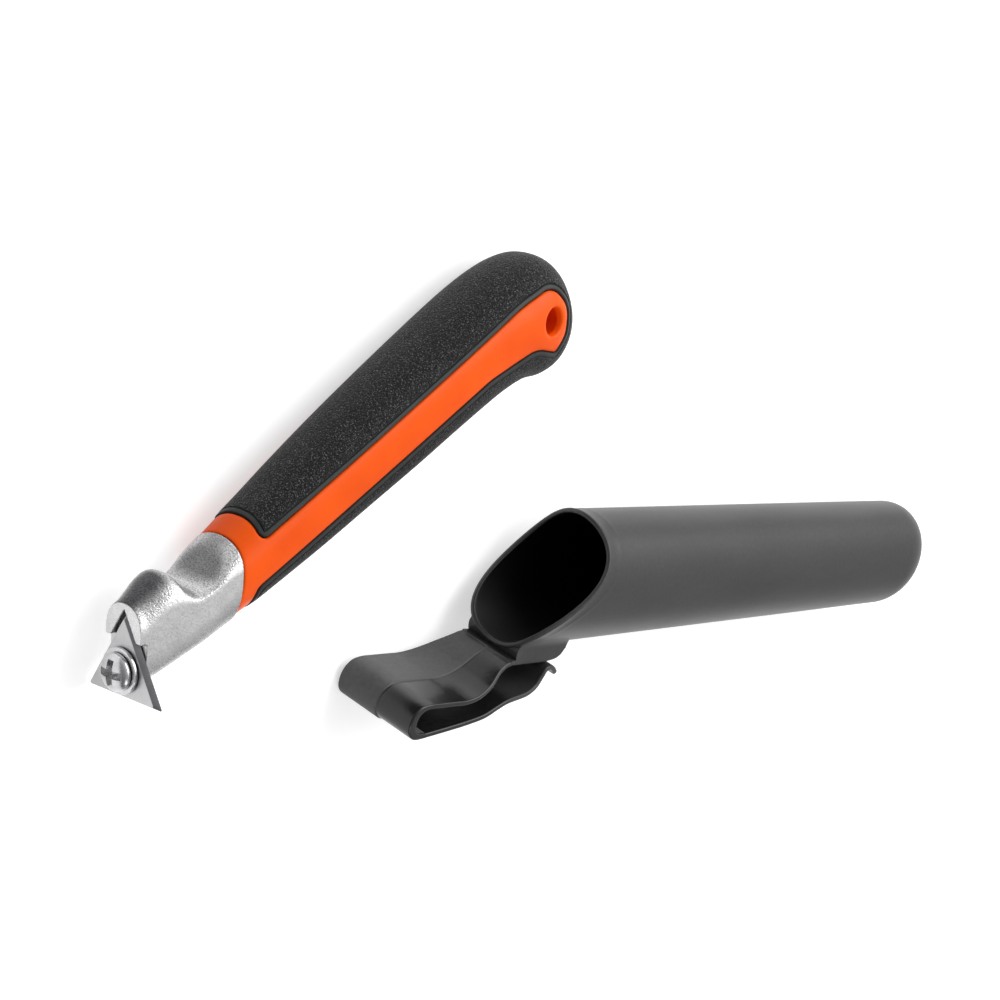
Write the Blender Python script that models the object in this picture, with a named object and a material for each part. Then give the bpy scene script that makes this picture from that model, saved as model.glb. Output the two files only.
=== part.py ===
# Carbide scraper with a triangular blade, lying on its side beside its belt holster.
# Metres. +X runs along the holster from its mouth to its closed end, +Z up from the floor.
# The tool lies at an angle to it. In the tool's own frame x runs along the grip from blade
# to butt, y to the top of the grip and z up, out of the side of the tool that shows.

from math import cos, pi, radians, sin, sqrt, tan

import bpy
from mathutils import Matrix, Vector

# Fits shared by all pieces
SEAT_GAP = 0.0003
CUT_OVERRUN = 0.020
OUTSIDE_SHARE = 2
RING_POINTS = 32
SHARP_ANGLE = radians(38)
CORNER_REACH_SHARE = 0.48
LEAST_CORNER_COSINE = 0.5

# Blade: an equilateral triangle whose three edges are ground back towards the front
BLADE_SIDE = 0.0250
BLADE_THICKNESS = 0.0015
BLADE_EDGE_RELIEF = 0.00088
BLADE_CORNER_RADIUS = 0.0004
BLADE_HOLE = 0.0056
BLADE_HALF_ANGLE = radians(30)
BLADE_TILT = radians(27.5)

# Clamping screw and washer
SCREW_SHANK = 0.0048
SCREW_LENGTH = 0.0105
SCREW_HEAD = 0.0094
SCREW_HEAD_HEIGHT = 0.0027
SCREW_EDGE_HEIGHT = 0.0006
SCREW_DOME_STEPS = 8
SCREW_TIP_SHARE = 1 / 3
CROSS_LENGTH = 0.0052
CROSS_WIDTH = 0.0011
CROSS_DEPTH = 0.0016
WASHER_SIZE = 0.0114
WASHER_THICKNESS = 0.0010
WASHER_BEVEL = 0.0003
BORE_CLEARANCE = 0.0003

# Head: sections parallel to the blade, from the nose to the collar of the handle
HEAD_LENGTH = 0.0280
HEAD_HEIGHT = 0.0272
HEAD_HALF_WIDTH = 0.0091
HOOD_LIP_HEIGHT = 0.0077
# shares of head length, of head height (bottom, lower and upper spring line, top), of half width
HEAD_SECTION_SHARES = (
    (-0.055, -0.100, 0.180, 0.360, 0.605, 0.655),
    (0.020, -0.120, 0.180, 0.370, 0.645, 0.680),
    (0.107, -0.120, 0.200, 0.450, 0.700, 0.715),
    (0.196, -0.103, 0.220, 0.520, 0.764, 0.755),
    (0.290, -0.068, 0.257, 0.560, 0.802, 0.800),
    (0.360, -0.043, 0.294, 0.570, 0.782, 0.838),
    (0.450, -0.010, 0.330, 0.565, 0.690, 0.868),
    (0.560, 0.030, 0.368, 0.560, 0.636, 0.901),
    (0.714, 0.085, 0.441, 0.612, 0.720, 0.940),
    (0.857, 0.138, 0.551, 0.682, 0.882, 0.975),
    (1.000, 0.188, 0.643, 0.725, 1.000, 1.000),
)
HEAD_ROUNDNESS = 2.15
SECTION_STEPS = 2

# Tang of the head inside the handle
TANG_LENGTH = 0.0340
TANG_HEIGHT = 0.0090
TANG_WIDTH = 0.0070
TANG_TAPER_SHARE = 0.72

# Grip: sections from the collar to the butt
GRIP_LENGTH = 0.1262
GRIP_HALF_HEIGHT = 0.0176
GRIP_HALF_WIDTH = 0.0134
COLLAR_CENTRE_ALONG = 0.03255
COLLAR_CENTRE_UP = 0.0019
# shares of grip length, of half height (centre line, half height), of half width, of blade tilt
GRIP_SECTION_SHARES = (
    (0.000, 0.088, 0.560, 0.709, 1.00),
    (0.067, 0.070, 0.612, 0.739, 0.70),
    (0.144, 0.056, 0.656, 0.772, 0.40),
    (0.229, 0.050, 0.707, 0.806, 0.15),
    (0.360, 0.046, 0.759, 0.858, 0.00),
    (0.493, 0.032, 0.800, 0.903, 0.00),
    (0.628, 0.018, 0.821, 0.943, 0.00),
    (0.745, -0.010, 0.845, 0.972, 0.00),
    (0.818, -0.072, 0.887, 0.988, 0.00),
    (0.871, -0.180, 0.962, 0.990, 0.00),
    (0.918, -0.240, 0.955, 0.945, 0.00),
    (0.960, -0.255, 0.845, 0.810, 0.00),
    (0.990, -0.265, 0.630, 0.580, 0.00),
    (1.005, -0.270, 0.270, 0.240, 0.00),
)
GRIP_TOP_ROUNDNESS = 2.3
GRIP_BOTTOM_ROUNDNESS = 2.0
GRIP_WIDEST_SHARE = 0.12

# Hard core of the handle and its side panel, seen from the side
COLLAR_BAND = 0.0058
PANEL_TOP = 0.0074
PANEL_BOTTOM = -0.0026
PANEL_CORNER_RADIUS = 0.0016
PANEL_SINK = 0.0003
# share of grip length, height above the grip axis as share of half height, corner radius likewise
PANEL_END_SHARES = (
    (0.838, 0.425, 0.60),
    (0.935, 0.300, 0.40),
    (0.961, -0.200, 0.35),
    (0.930, -0.560, 0.25),
    (0.890, -0.700, 0.05),
    (0.838, -0.340, 0.60),
    (0.700, -0.165, 1.00),
)
SOFT_THICKNESS = 0.0025
CORE_END_SHARE = 0.925
HANG_HOLE = 0.0076
HANG_HOLE_ALONG_SHARE = 0.903
HANG_HOLE_UP = -0.0030

# Holster: a tapered oval tube with a domed end, its mouth cut aslant
SLEEVE_HALF_HEIGHT = 0.0182
SLEEVE_HALF_WIDTH = 0.0147
SLEEVE_LENGTH = 0.1580
SLEEVE_TAPER_SHARE = 0.143
SLEEVE_DOME = 0.0156
SLEEVE_WALL = 0.0012
MOUTH_START = -0.0023
MOUTH_SLANT = 0.0097
MOUTH_SCOOP = 0.0034
MOUTH_SWEEP = 0.0086
MOUTH_CURL = -0.0030
LIP_SHARE = 1.06
SLEEVE_POINTS = 40
SLEEVE_STEPS = 5
MOUTH_STEPS = 16
DOME_STEPS = 8
DOME_ROUNDNESS = 2.15
HOLSTER_ALONG = 0.1216
HOLSTER_UP = -0.0703
HOLSTER_HEADING = radians(-37.5)
HOLSTER_PITCH = radians(1.5)
HOLSTER_ROLL = radians(12.4)

# Belt clip: a folded leaf under the mouth and a springy tongue below it
CLIP_WIDTH = 0.0258
CLIP_REACH = 0.0510
CLIP_DROP = 0.0370
LEAF_THICKNESS = 0.0015
FOLD_THICKNESS = 0.0027
NECK_THICKNESS = 0.0078
STEP_HEIGHT = 0.0005
STEP_SIDE_SHARE = 0.08
# shares of clip reach (ahead of the mouth) and of clip drop, then of fold thickness,
# of neck thickness, of clip width, and of the height of the step along the leaf
LEAF_CENTRE_SHARES = (
    (-0.852, -0.985, 0.1, 0.00, 1.00, 0.1),
    (-0.915, -0.980, 0.6, 0.00, 1.00, 0.8),
    (-0.959, -0.930, 1.0, 0.00, 1.00, 1.0),
    (-0.968, -0.846, 0.9, 0.00, 1.00, 1.0),
    (-0.943, -0.784, 0.5, 0.00, 1.00, 1.0),
    (-0.888, -0.757, 0.0, 0.00, 1.00, 1.0),
    (-0.800, -0.756, 0.0, 0.00, 1.00, 1.0),
    (-0.680, -0.756, 0.0, 0.00, 1.00, 1.0),
    (-0.600, -0.756, 0.0, 0.00, 1.00, 1.0),
    (-0.510, -0.734, 0.0, 0.00, 0.98, 1.0),
    (-0.430, -0.690, 0.0, 0.00, 0.92, 1.0),
    (-0.385, -0.652, 0.0, 0.00, 0.86, 1.0),
    (-0.330, -0.600, 0.0, 0.00, 0.76, 1.0),
    (-0.280, -0.563, 0.0, 0.00, 0.71, 0.9),
    (-0.245, -0.546, 0.0, 0.03, 0.70, 0.5),
    (-0.228, -0.514, 0.0, 0.40, 0.69, 0.2),
    (-0.208, -0.484, 0.0, 0.75, 0.68, 0.1),
    (-0.140, -0.462, 0.0, 1.00, 0.67, 0.1),
    (0.020, -0.457, 0.0, 1.00, 0.68, 0.1),
    (0.110, -0.450, 0.0, 0.93, 0.68, 0.1),
    (0.150, -0.436, 0.0, 0.76, 0.68, 0.1),
    (0.170, -0.410, 0.0, 0.46, 0.68, 0.1),
)
TONGUE_CENTRE_SHARES = (
    (-0.845, -0.985, 0.0, 0.00, 1.00, 0.0),
    (-0.660, -0.950, 0.0, 0.00, 1.00, 0.0),
    (-0.530, -0.922, 0.0, 0.00, 1.00, 0.0),
    (-0.402, -0.890, 0.0, 0.00, 0.98, 0.0),
    (-0.300, -0.840, 0.0, 0.00, 0.94, 0.0),
    (-0.215, -0.808, 0.0, 0.00, 0.90, 0.0),
    (-0.070, -0.780, 0.0, 0.00, 0.85, 0.0),
    (0.005, -0.738, 0.0, 0.00, 0.80, 0.0),
    (0.042, -0.676, 0.0, 0.00, 0.76, 0.0),
    (0.065, -0.620, 0.0, 0.00, 0.74, 0.0),
    (0.102, -0.608, 0.0, 0.00, 0.72, 0.0),
    (0.140, -0.628, 0.0, 0.00, 0.70, 0.0),
    (0.168, -0.655, 0.0, 0.00, 0.68, 0.0),
)
NECK_TURN_SHARE = 2
STRIP_STEPS = 3

# Looks of each piece: name, colour, roughness, metallic
FINISHES = {
    "handle_core": ("orange plastic", (0.9, 0.13, 0.02), 0.3, 0.0),
    "grip_cover": ("soft black plastic", (0.02, 0.02, 0.02), 0.8, 0.0),
    "head_casting": ("blasted casting", (0.5, 0.5, 0.5), 0.45, 1.0),
    "carbide_blade": ("ground carbide", (0.55, 0.55, 0.56), 0.3, 1.0),
    "blade_washer": ("plated steel", (0.62, 0.62, 0.62), 0.25, 1.0),
    "blade_screw": ("bright screw", (0.7, 0.7, 0.7), 0.18, 1.0),
    "holster_sleeve": ("moulded black plastic", (0.05, 0.05, 0.05), 0.45, 0.0),
    "belt_clip_tongue": ("springy black plastic", (0.04, 0.04, 0.04), 0.35, 0.0),
}


def clear_scene():
    for old in list(bpy.data.objects):
        bpy.data.objects.remove(old, do_unlink=True)


def make_material(piece_name):
    name, color, roughness, metallic = FINISHES[piece_name]
    material = bpy.data.materials.new(name)
    material.use_nodes = True
    shader = material.node_tree.nodes["Principled BSDF"]
    shader.inputs["Base Color"].default_value = (*color, 1.0)
    shader.inputs["Roughness"].default_value = roughness
    shader.inputs["Metallic"].default_value = metallic
    material.diffuse_color = (*color, 1.0)
    return material


def make_frame(name, parent=None, matrix=None):
    frame = bpy.data.objects.new(name, None)
    bpy.context.scene.collection.objects.link(frame)
    frame.parent = parent
    frame.matrix_basis = matrix or Matrix.Identity(4)
    return frame


def make_piece(name, points, faces, parent):
    """A mesh object; a name in the table of looks is a shown piece, any other a cutter."""
    mesh = bpy.data.meshes.new(name)
    mesh.from_pydata(points, [], faces)
    mesh.update()
    piece = bpy.data.objects.new(name, mesh)
    bpy.context.scene.collection.objects.link(piece)
    piece.parent = parent
    if name in FINISHES:
        mesh.materials.append(make_material(name))
        mesh.shade_smooth()
        mesh.set_sharp_from_angle(angle=SHARP_ANGLE)
    else:
        piece.hide_render = True
        piece.display_type = "WIRE"
    return piece


def apply_boolean(piece, cutter, operation):
    step = piece.modifiers.new(f"{operation} {cutter.name}", "BOOLEAN")
    step.operation = operation
    step.object = cutter
    step.solver = "EXACT"


def make_loft(name, rings, parent):
    """Skin rings of equal count, each given in order round the axis, and cap both ends."""
    count = len(rings[0])
    points = [point for ring in rings for point in ring]
    faces = []
    for row in range(len(rings) - 1):
        for column in range(count):
            after = (column + 1) % count
            low, high = row * count, (row + 1) * count
            faces.append((low + column, low + after, high + after, high + column))
    faces.append(tuple(reversed(range(count))))
    faces.append(tuple(range(len(points) - count, len(points))))
    return make_piece(name, points, faces, parent)


def make_prism(name, outline, start, end, axis, parent):
    """Extrude an outline along one axis; the outline's two numbers fill the other axes in order."""
    def lift(pair, along):
        point = list(pair)
        point.insert(axis, along)
        return point

    if outline_area(outline) < 0:
        outline = list(reversed(outline))
    if axis == 1:
        outline = list(reversed(outline))
    rings = [[lift(pair, along) for pair in outline] for along in (start, end)]
    return make_loft(name, rings, parent)


def make_turned(name, profile, parent):
    """Turn a profile of (along, radius) round the local X axis, from front to back."""
    rings = []
    for along, radius in profile:
        turns = [2 * pi * index / RING_POINTS for index in range(RING_POINTS)]
        rings.append([(along, radius * cos(turn), radius * sin(turn)) for turn in turns])
    return make_loft(name, rings, parent)


def outline_area(outline):
    total = 0.0
    for index, (x, y) in enumerate(outline):
        next_x, next_y = outline[(index + 1) % len(outline)]
        total += x * next_y - next_x * y
    return total / 2


def smooth_rows(rows, steps):
    """Cubic curve through rows of numbers, with the given steps between neighbours."""
    last = len(rows) - 1
    smooth = []
    for index in range(last):
        before = rows[max(index - 1, 0)]
        start = rows[index]
        end = rows[index + 1]
        after = rows[min(index + 2, last)]
        for step in range(steps):
            t = step / steps
            row = []
            for p0, p1, p2, p3 in zip(before, start, end, after):
                linear = (p2 - p0) / 2
                square = p0 - 2.5 * p1 + 2 * p2 - p3 / 2
                cube = (p3 - p0) / 2 + 1.5 * (p1 - p2)
                row.append(p1 + t * (linear + t * (square + t * cube)))
            smooth.append(row)
    smooth.append(list(rows[last]))
    return smooth


def round_corners(corners, arc_steps=4):
    """Outline whose corners (x, y, radius) are rounded with arcs."""
    outline = []
    count = len(corners)
    for index, (x, y, radius) in enumerate(corners):
        corner = Vector((x, y))
        if radius == 0:
            outline.append((x, y))
            continue
        back = Vector(corners[index - 1][:2]) - corner
        ahead = Vector(corners[(index + 1) % count][:2]) - corner
        half = back.angle(ahead) / 2
        room = min(back.length, ahead.length) * CORNER_REACH_SHARE
        reach = min(radius / tan(half), room)
        start = corner + back.normalized() * reach
        end = corner + ahead.normalized() * reach
        inwards = (back.normalized() + ahead.normalized()).normalized()
        centre = corner + inwards * (reach / cos(half))
        first = start - centre
        sweep = first.angle_signed(end - centre)
        for step in range(arc_steps + 1):
            turn = -sweep * step / arc_steps
            point = centre + Matrix.Rotation(turn, 2) @ first
            outline.append((point.x, point.y))
    return outline


def offset_outline(outline, distance):
    """Move each point of a closed outline outwards, square to its neighbours."""
    side = 1 if outline_area(outline) > 0 else -1
    moved = []
    for index, (x, y) in enumerate(outline):
        before = Vector((x, y)) - Vector(outline[index - 1])
        after = Vector(outline[(index + 1) % len(outline)]) - Vector((x, y))
        first = Vector((before.y, -before.x)).normalized()
        second = Vector((after.y, -after.x)).normalized()
        out = (first + second).normalized()
        step = out * side * distance / max(out.dot(first), LEAST_CORNER_COSINE)
        moved.append((x + step.x, y + step.y))
    return moved


def rounded_power(value, roundness):
    return abs(value) ** (2 / roundness) * (1 if value >= 0 else -1)


def arch_section(half_width, bottom, low_spring, high_spring, top, low_round, high_round):
    """Closed section (up, sideways): two arches on straight sides."""
    section = []
    for index in range(RING_POINTS):
        turn = -2 * pi * (index + 0.5) / RING_POINTS
        rise = sin(turn)
        upper = rise >= 0
        roundness = high_round if upper else low_round
        side = half_width * rounded_power(cos(turn), roundness)
        lift = rounded_power(rise, roundness)
        if upper:
            up = high_spring + (top - high_spring) * lift
        else:
            up = low_spring + (low_spring - bottom) * lift
        section.append((up, side))
    return section


def blade_outline(inset):
    """Triangle (up, sideways) standing on its cutting edge, set in from the ground edge."""
    inner = BLADE_SIDE / (2 * sqrt(3)) - inset
    corners = []
    for turn in (0, 2 * pi / 3, 4 * pi / 3):
        corners.append((2 * inner * cos(turn), 2 * inner * sin(turn), BLADE_CORNER_RADIUS))
    return round_corners(corners, arc_steps=3)


def make_blade(parent):
    rings = []
    for along, inset in ((-BLADE_THICKNESS, BLADE_EDGE_RELIEF), (0, 0)):
        rings.append([(along, up, side) for up, side in blade_outline(inset)])
    blade = make_loft("carbide_blade", rings, parent)
    radius = BLADE_HOLE / 2
    hole = make_turned("blade hole", ((-CUT_OVERRUN, radius), (CUT_OVERRUN, radius)), parent)
    apply_boolean(blade, hole, "DIFFERENCE")
    return blade


def washer_back():
    return -BLADE_THICKNESS - SEAT_GAP


def screw_back():
    return washer_back() - WASHER_THICKNESS - SEAT_GAP


def make_washer(parent):
    radius = WASHER_SIZE / 2
    back = washer_back()
    front = back - WASHER_THICKNESS
    profile = ((front, radius - WASHER_BEVEL), (front + WASHER_BEVEL, radius), (back, radius))
    washer = make_turned("blade_washer", profile, parent)
    bore = SCREW_SHANK / 2 + BORE_CLEARANCE
    hole = make_turned("washer hole", ((-CUT_OVERRUN, bore), (CUT_OVERRUN, bore)), parent)
    apply_boolean(washer, hole, "DIFFERENCE")
    return washer


def dome_profile(back):
    """Pan head from its crown to its seat, as (along, radius)."""
    radius = SCREW_HEAD / 2
    rise = SCREW_HEAD_HEIGHT - SCREW_EDGE_HEIGHT
    profile = []
    for step in range(1, SCREW_DOME_STEPS + 1):
        turn = pi / 2 * step / SCREW_DOME_STEPS
        profile.append((back - SCREW_EDGE_HEIGHT - rise * cos(turn), radius * sin(turn)))
    profile.append((back, radius))
    return profile


def make_screw(parent):
    back = screw_back()
    shank = SCREW_SHANK / 2
    profile = dome_profile(back)
    profile.append((back, shank))
    tip = back + SCREW_LENGTH
    profile.append((tip - shank * SCREW_TIP_SHARE, shank))
    profile.append((tip, shank * (1 - SCREW_TIP_SHARE)))
    screw = make_turned("blade_screw", profile, parent)
    crown = back - SCREW_HEAD_HEIGHT
    long, wide = CROSS_LENGTH / 2, CROSS_WIDTH / 2
    for name, up, side in (("upright slot", long, wide), ("level slot", wide, long)):
        outline = ((-up, -side), (up, -side), (up, side), (-up, side))
        slot = make_prism(name, outline, crown - CUT_OVERRUN, crown + CROSS_DEPTH, 0, parent)
        apply_boolean(screw, slot, "DIFFERENCE")
    return screw


def head_rings():
    rings = []
    for along, bottom, low, high, top, wide in smooth_rows(HEAD_SECTION_SHARES, SECTION_STEPS):
        section = arch_section(
            HEAD_HALF_WIDTH * wide,
            HEAD_HEIGHT * bottom,
            HEAD_HEIGHT * low,
            HEAD_HEIGHT * high,
            HEAD_HEIGHT * top,
            HEAD_ROUNDNESS,
            HEAD_ROUNDNESS,
        )
        rings.append([(HEAD_LENGTH * along, up, side) for up, side in section])
    return rings


def tang_rings(clearance):
    """Rings along the grip axis, from inside the head to the end of the tang."""
    start = COLLAR_CENTRE_ALONG - TANG_HEIGHT / 2
    end = COLLAR_CENTRE_ALONG + TANG_LENGTH + clearance
    rings = []
    for along, share in ((start, 1.0), (end, TANG_TAPER_SHARE)):
        high = TANG_HEIGHT / 2 * share + clearance
        wide = TANG_WIDTH / 2 * share + clearance
        corners = ((-high, -wide), (high, -wide), (high, wide), (-high, wide))
        rings.append([(along, COLLAR_CENTRE_UP + up, side) for up, side in corners])
    return rings


def seat_cutter_outline():
    """Room for the blade ahead of its seat (up, sideways): open below the lip, a notch above it."""
    corner = BLADE_SIDE / sqrt(3)
    apex = corner + SEAT_GAP / sin(BLADE_HALF_ANGLE)
    spread = (apex - HOOD_LIP_HEIGHT) * tan(BLADE_HALF_ANGLE)
    reach = CUT_OVERRUN
    return (
        (apex, 0),
        (HOOD_LIP_HEIGHT, spread),
        (HOOD_LIP_HEIGHT, reach),
        (-reach, reach),
        (-reach, -reach),
        (HOOD_LIP_HEIGHT, -reach),
        (HOOD_LIP_HEIGHT, -spread),
    )


def make_head(blade_frame, tool_frame):
    head = make_loft("head_casting", head_rings(), blade_frame)
    tang = make_loft("tang", tang_rings(0), tool_frame)
    apply_boolean(head, tang, "UNION")
    seat = make_prism("blade seat", seat_cutter_outline(), -CUT_OVERRUN, SEAT_GAP, 0, blade_frame)
    apply_boolean(head, seat, "DIFFERENCE")
    bore = SCREW_SHANK / 2 + BORE_CLEARANCE
    depth = screw_back() + SCREW_LENGTH + BORE_CLEARANCE
    hole = make_turned("screw bore", ((-CUT_OVERRUN, bore), (depth, bore)), blade_frame)
    apply_boolean(head, hole, "DIFFERENCE")
    return head


def grip_rings(inset, first_share=0.0, last_share=1.0):
    """Sections of the grip, set in from its surface, between two shares of its length."""
    rings = []
    for share, centre, high, wide, tilt in smooth_rows(GRIP_SECTION_SHARES, SECTION_STEPS):
        if share < first_share or share > last_share:
            continue
        angle = BLADE_TILT * tilt
        half_height = GRIP_HALF_HEIGHT * high - inset
        half_width = GRIP_HALF_WIDTH * wide - inset
        spring = half_height * GRIP_WIDEST_SHARE
        section = arch_section(
            half_width,
            -half_height,
            spring,
            spring,
            half_height,
            GRIP_BOTTOM_ROUNDNESS,
            GRIP_TOP_ROUNDNESS,
        )
        along = COLLAR_CENTRE_ALONG + GRIP_LENGTH * share
        middle = GRIP_HALF_HEIGHT * centre
        ring = []
        for up, side in section:
            ring.append((along + up * tan(angle), middle + up, side))
        rings.append(ring)
    return rings


def panel_outline():
    """Side view (along, up) of the hard plastic that shows: collar band and side panel."""
    slope = tan(BLADE_TILT)
    reach = GRIP_HALF_HEIGHT * OUTSIDE_SHARE
    band = COLLAR_CENTRE_ALONG + COLLAR_BAND / cos(BLADE_TILT)

    def on_band(up):
        return band + (up - COLLAR_CENTRE_UP) * slope

    far = COLLAR_CENTRE_ALONG - GRIP_LENGTH
    corners = [
        (far, reach, 0),
        (far, -reach, 0),
        (on_band(-reach), -reach, 0),
        (on_band(PANEL_BOTTOM), PANEL_BOTTOM, PANEL_CORNER_RADIUS),
    ]
    for along_share, up_share, radius_share in reversed(PANEL_END_SHARES):
        along = COLLAR_CENTRE_ALONG + GRIP_LENGTH * along_share
        corners.append((along, GRIP_HALF_HEIGHT * up_share, GRIP_HALF_HEIGHT * radius_share))
    corners.append((on_band(PANEL_TOP), PANEL_TOP, PANEL_CORNER_RADIUS))
    corners.append((on_band(reach), reach, 0))
    return round_corners(corners, arc_steps=5)


def hang_hole(parent):
    along = COLLAR_CENTRE_ALONG + GRIP_LENGTH * HANG_HOLE_ALONG_SHARE
    radius = HANG_HOLE / 2
    turns = [2 * pi * index / RING_POINTS for index in range(RING_POINTS)]
    outline = [(along + radius * cos(turn), HANG_HOLE_UP + radius * sin(turn)) for turn in turns]
    return make_prism("hang hole", outline, -CUT_OVERRUN, CUT_OVERRUN, 2, parent)


def make_core(tool_frame):
    """Hard core: what lies under the soft cover, and what the cover leaves open."""
    core = make_loft("handle_core", grip_rings(PANEL_SINK), tool_frame)
    panel = make_prism("panel space", panel_outline(), -CUT_OVERRUN, CUT_OVERRUN, 2, tool_frame)
    under = make_loft("under cover", grip_rings(SOFT_THICKNESS, 0.0, CORE_END_SHARE), tool_frame)
    apply_boolean(panel, under, "UNION")
    apply_boolean(core, panel, "INTERSECT")
    socket = make_loft("tang socket", tang_rings(SEAT_GAP), tool_frame)
    apply_boolean(core, socket, "DIFFERENCE")
    apply_boolean(core, hang_hole(tool_frame), "DIFFERENCE")
    return core


def make_cover(tool_frame):
    """Soft cover: over the top, round the butt and along the underside, in one piece."""
    cover = make_loft("grip_cover", grip_rings(0), tool_frame)
    outline = offset_outline(panel_outline(), SEAT_GAP)
    opening = make_prism("panel opening", outline, -CUT_OVERRUN, CUT_OVERRUN, 2, tool_frame)
    inner_rings = grip_rings(SOFT_THICKNESS - SEAT_GAP, 0.0, CORE_END_SHARE)
    hollow = make_loft("cover hollow", inner_rings, tool_frame)
    apply_boolean(opening, hollow, "UNION")
    apply_boolean(cover, opening, "DIFFERENCE")
    return cover


def sleeve_rings(inset, front):
    """Oval sections of the tube and its domed end, set in from the outside."""
    rows = []
    for step in range(SLEEVE_STEPS + 1):
        along = front + (SLEEVE_LENGTH - front) * step / SLEEVE_STEPS
        rows.append((along, 1 - SLEEVE_TAPER_SHARE * along / SLEEVE_LENGTH))
    end_share = rows[-1][1]
    for step in range(1, DOME_STEPS):
        turn = pi / 2 * step / DOME_STEPS
        fall = rounded_power(cos(turn), DOME_ROUNDNESS)
        rise = rounded_power(sin(turn), DOME_ROUNDNESS)
        rows.append((SLEEVE_LENGTH + (SLEEVE_DOME - inset) * rise, end_share * fall))
    rings = []
    for along, share in rows:
        high = (SLEEVE_HALF_HEIGHT - inset) * share
        wide = (SLEEVE_HALF_WIDTH - inset) * share
        turns = [2 * pi * index / SLEEVE_POINTS for index in range(SLEEVE_POINTS)]
        rings.append([(along, high * cos(turn), wide * sin(turn)) for turn in turns])
    return rings


def mouth_edge(up):
    """How far along the tube its slanted, scooped mouth lies at a height from its axis."""
    share = up / SLEEVE_HALF_HEIGHT
    bow = MOUTH_SCOOP + MOUTH_SWEEP * share + MOUTH_CURL * share ** 2
    return MOUTH_START + MOUTH_SLANT * share + bow * (1 - share ** 2)


def mouth_cutter(parent):
    """Everything ahead of the mouth and above its lower lip, as a prism across the holster."""
    top = SLEEVE_HALF_HEIGHT * (1 + SLEEVE_TAPER_SHARE)
    bottom = -SLEEVE_HALF_HEIGHT * LIP_SHARE
    outline = []
    for step in range(MOUTH_STEPS + 1):
        up = top + (bottom - top) * step / MOUTH_STEPS
        outline.append((mouth_edge(up), up))
    front = -CLIP_REACH - CUT_OVERRUN
    outline += [(front, bottom), (front, top)]
    return make_prism("mouth cut", outline, -CUT_OVERRUN, CUT_OVERRUN, 2, parent)


def strip_rings(centre_shares, width_loss=0):
    """Sections along a strip from rows of shares: its path, thickness, width and step."""
    rows = smooth_rows(centre_shares, STRIP_STEPS)
    centres = [Vector((CLIP_REACH * row[0], CLIP_DROP * row[1])) for row in rows]
    rings = []
    for index, centre in enumerate(centres):
        before = centres[max(index - 1, 0)]
        after = centres[min(index + 1, len(centres) - 1)]
        fold, neck, width, raised = rows[index][2:]
        # the neck is cut square to the tube, the thin leaf square to its own path
        path = (after - before).normalized()
        ahead = path.lerp(Vector((1, 0)), min(neck * NECK_TURN_SHARE, 1)).normalized()
        thick = LEAF_THICKNESS * (1 - fold - neck) + FOLD_THICKNESS * fold + NECK_THICKNESS * neck
        out = Vector((-ahead.y, ahead.x))
        upper = centre + out * thick / 2
        lower = centre - out * thick / 2
        wide = CLIP_WIDTH / 2 * width - width_loss
        ring = [(*lower, wide), (*lower, -wide)]
        if raised > 0:
            # the far half stands proud of the near half
            higher = upper + out * STEP_HEIGHT * raised
            edge = wide * STEP_SIDE_SHARE
            ring += [(*higher, -wide), (*higher, edge), (*upper, edge), (*upper, wide)]
        else:
            ring += [(*upper, -wide), (*upper, wide)]
        rings.append(ring)
    return rings


def make_sleeve(parent):
    front = MOUTH_START - MOUTH_SLANT * OUTSIDE_SHARE
    sleeve = make_loft("holster_sleeve", sleeve_rings(0, front), parent)
    leaf = make_loft("leaf and neck", strip_rings(LEAF_CENTRE_SHARES), parent)
    apply_boolean(sleeve, leaf, "UNION")
    apply_boolean(sleeve, mouth_cutter(parent), "DIFFERENCE")
    bore = make_loft("sleeve bore", sleeve_rings(SLEEVE_WALL, front - CUT_OVERRUN), parent)
    apply_boolean(sleeve, bore, "DIFFERENCE")
    return sleeve


def make_tongue(parent):
    return make_loft("belt_clip_tongue", strip_rings(TONGUE_CENTRE_SHARES, SEAT_GAP), parent)


def tongue_hinge():
    along, up = TONGUE_CENTRE_SHARES[0][:2]
    return Vector((CLIP_REACH * along, CLIP_DROP * up, 0))


def move_origin(piece, point):
    """Put a piece's origin on a point of its parent's frame and leave its shape where it is."""
    piece.data.transform(Matrix.Translation(-point))
    piece.location = point


def world_corners(piece, graph):
    shown = piece.evaluated_get(graph)
    mesh = shown.to_mesh()
    corners = [shown.matrix_world @ vertex.co for vertex in mesh.vertices]
    shown.to_mesh_clear()
    return corners


def lowest(pieces, graph):
    return min(corner.z for piece in pieces for corner in world_corners(piece, graph))


def set_down(part_frame, tool_frame, holster_frame, tool_pieces, holster_pieces):
    """Both items touch the floor, and the origin is below the middle of the whole part."""
    bpy.context.view_layer.update()
    graph = bpy.context.evaluated_depsgraph_get()
    tool_frame.location.z -= lowest(tool_pieces, graph)
    holster_frame.location.z -= lowest(holster_pieces, graph)
    bpy.context.view_layer.update()
    graph = bpy.context.evaluated_depsgraph_get()
    corners = []
    for piece in tool_pieces + holster_pieces:
        corners += world_corners(piece, graph)
    for axis in (0, 1):
        places = [corner[axis] for corner in corners]
        part_frame.location[axis] -= (min(places) + max(places)) / 2
    bpy.context.view_layer.update()


def holster_matrix():
    turn = Matrix.Rotation(HOLSTER_HEADING, 4, "Z")
    turn = turn @ Matrix.Rotation(HOLSTER_PITCH, 4, "Y")
    turn = turn @ Matrix.Rotation(HOLSTER_ROLL, 4, "X")
    return Matrix.Translation((HOLSTER_ALONG, HOLSTER_UP, 0)) @ turn


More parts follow.
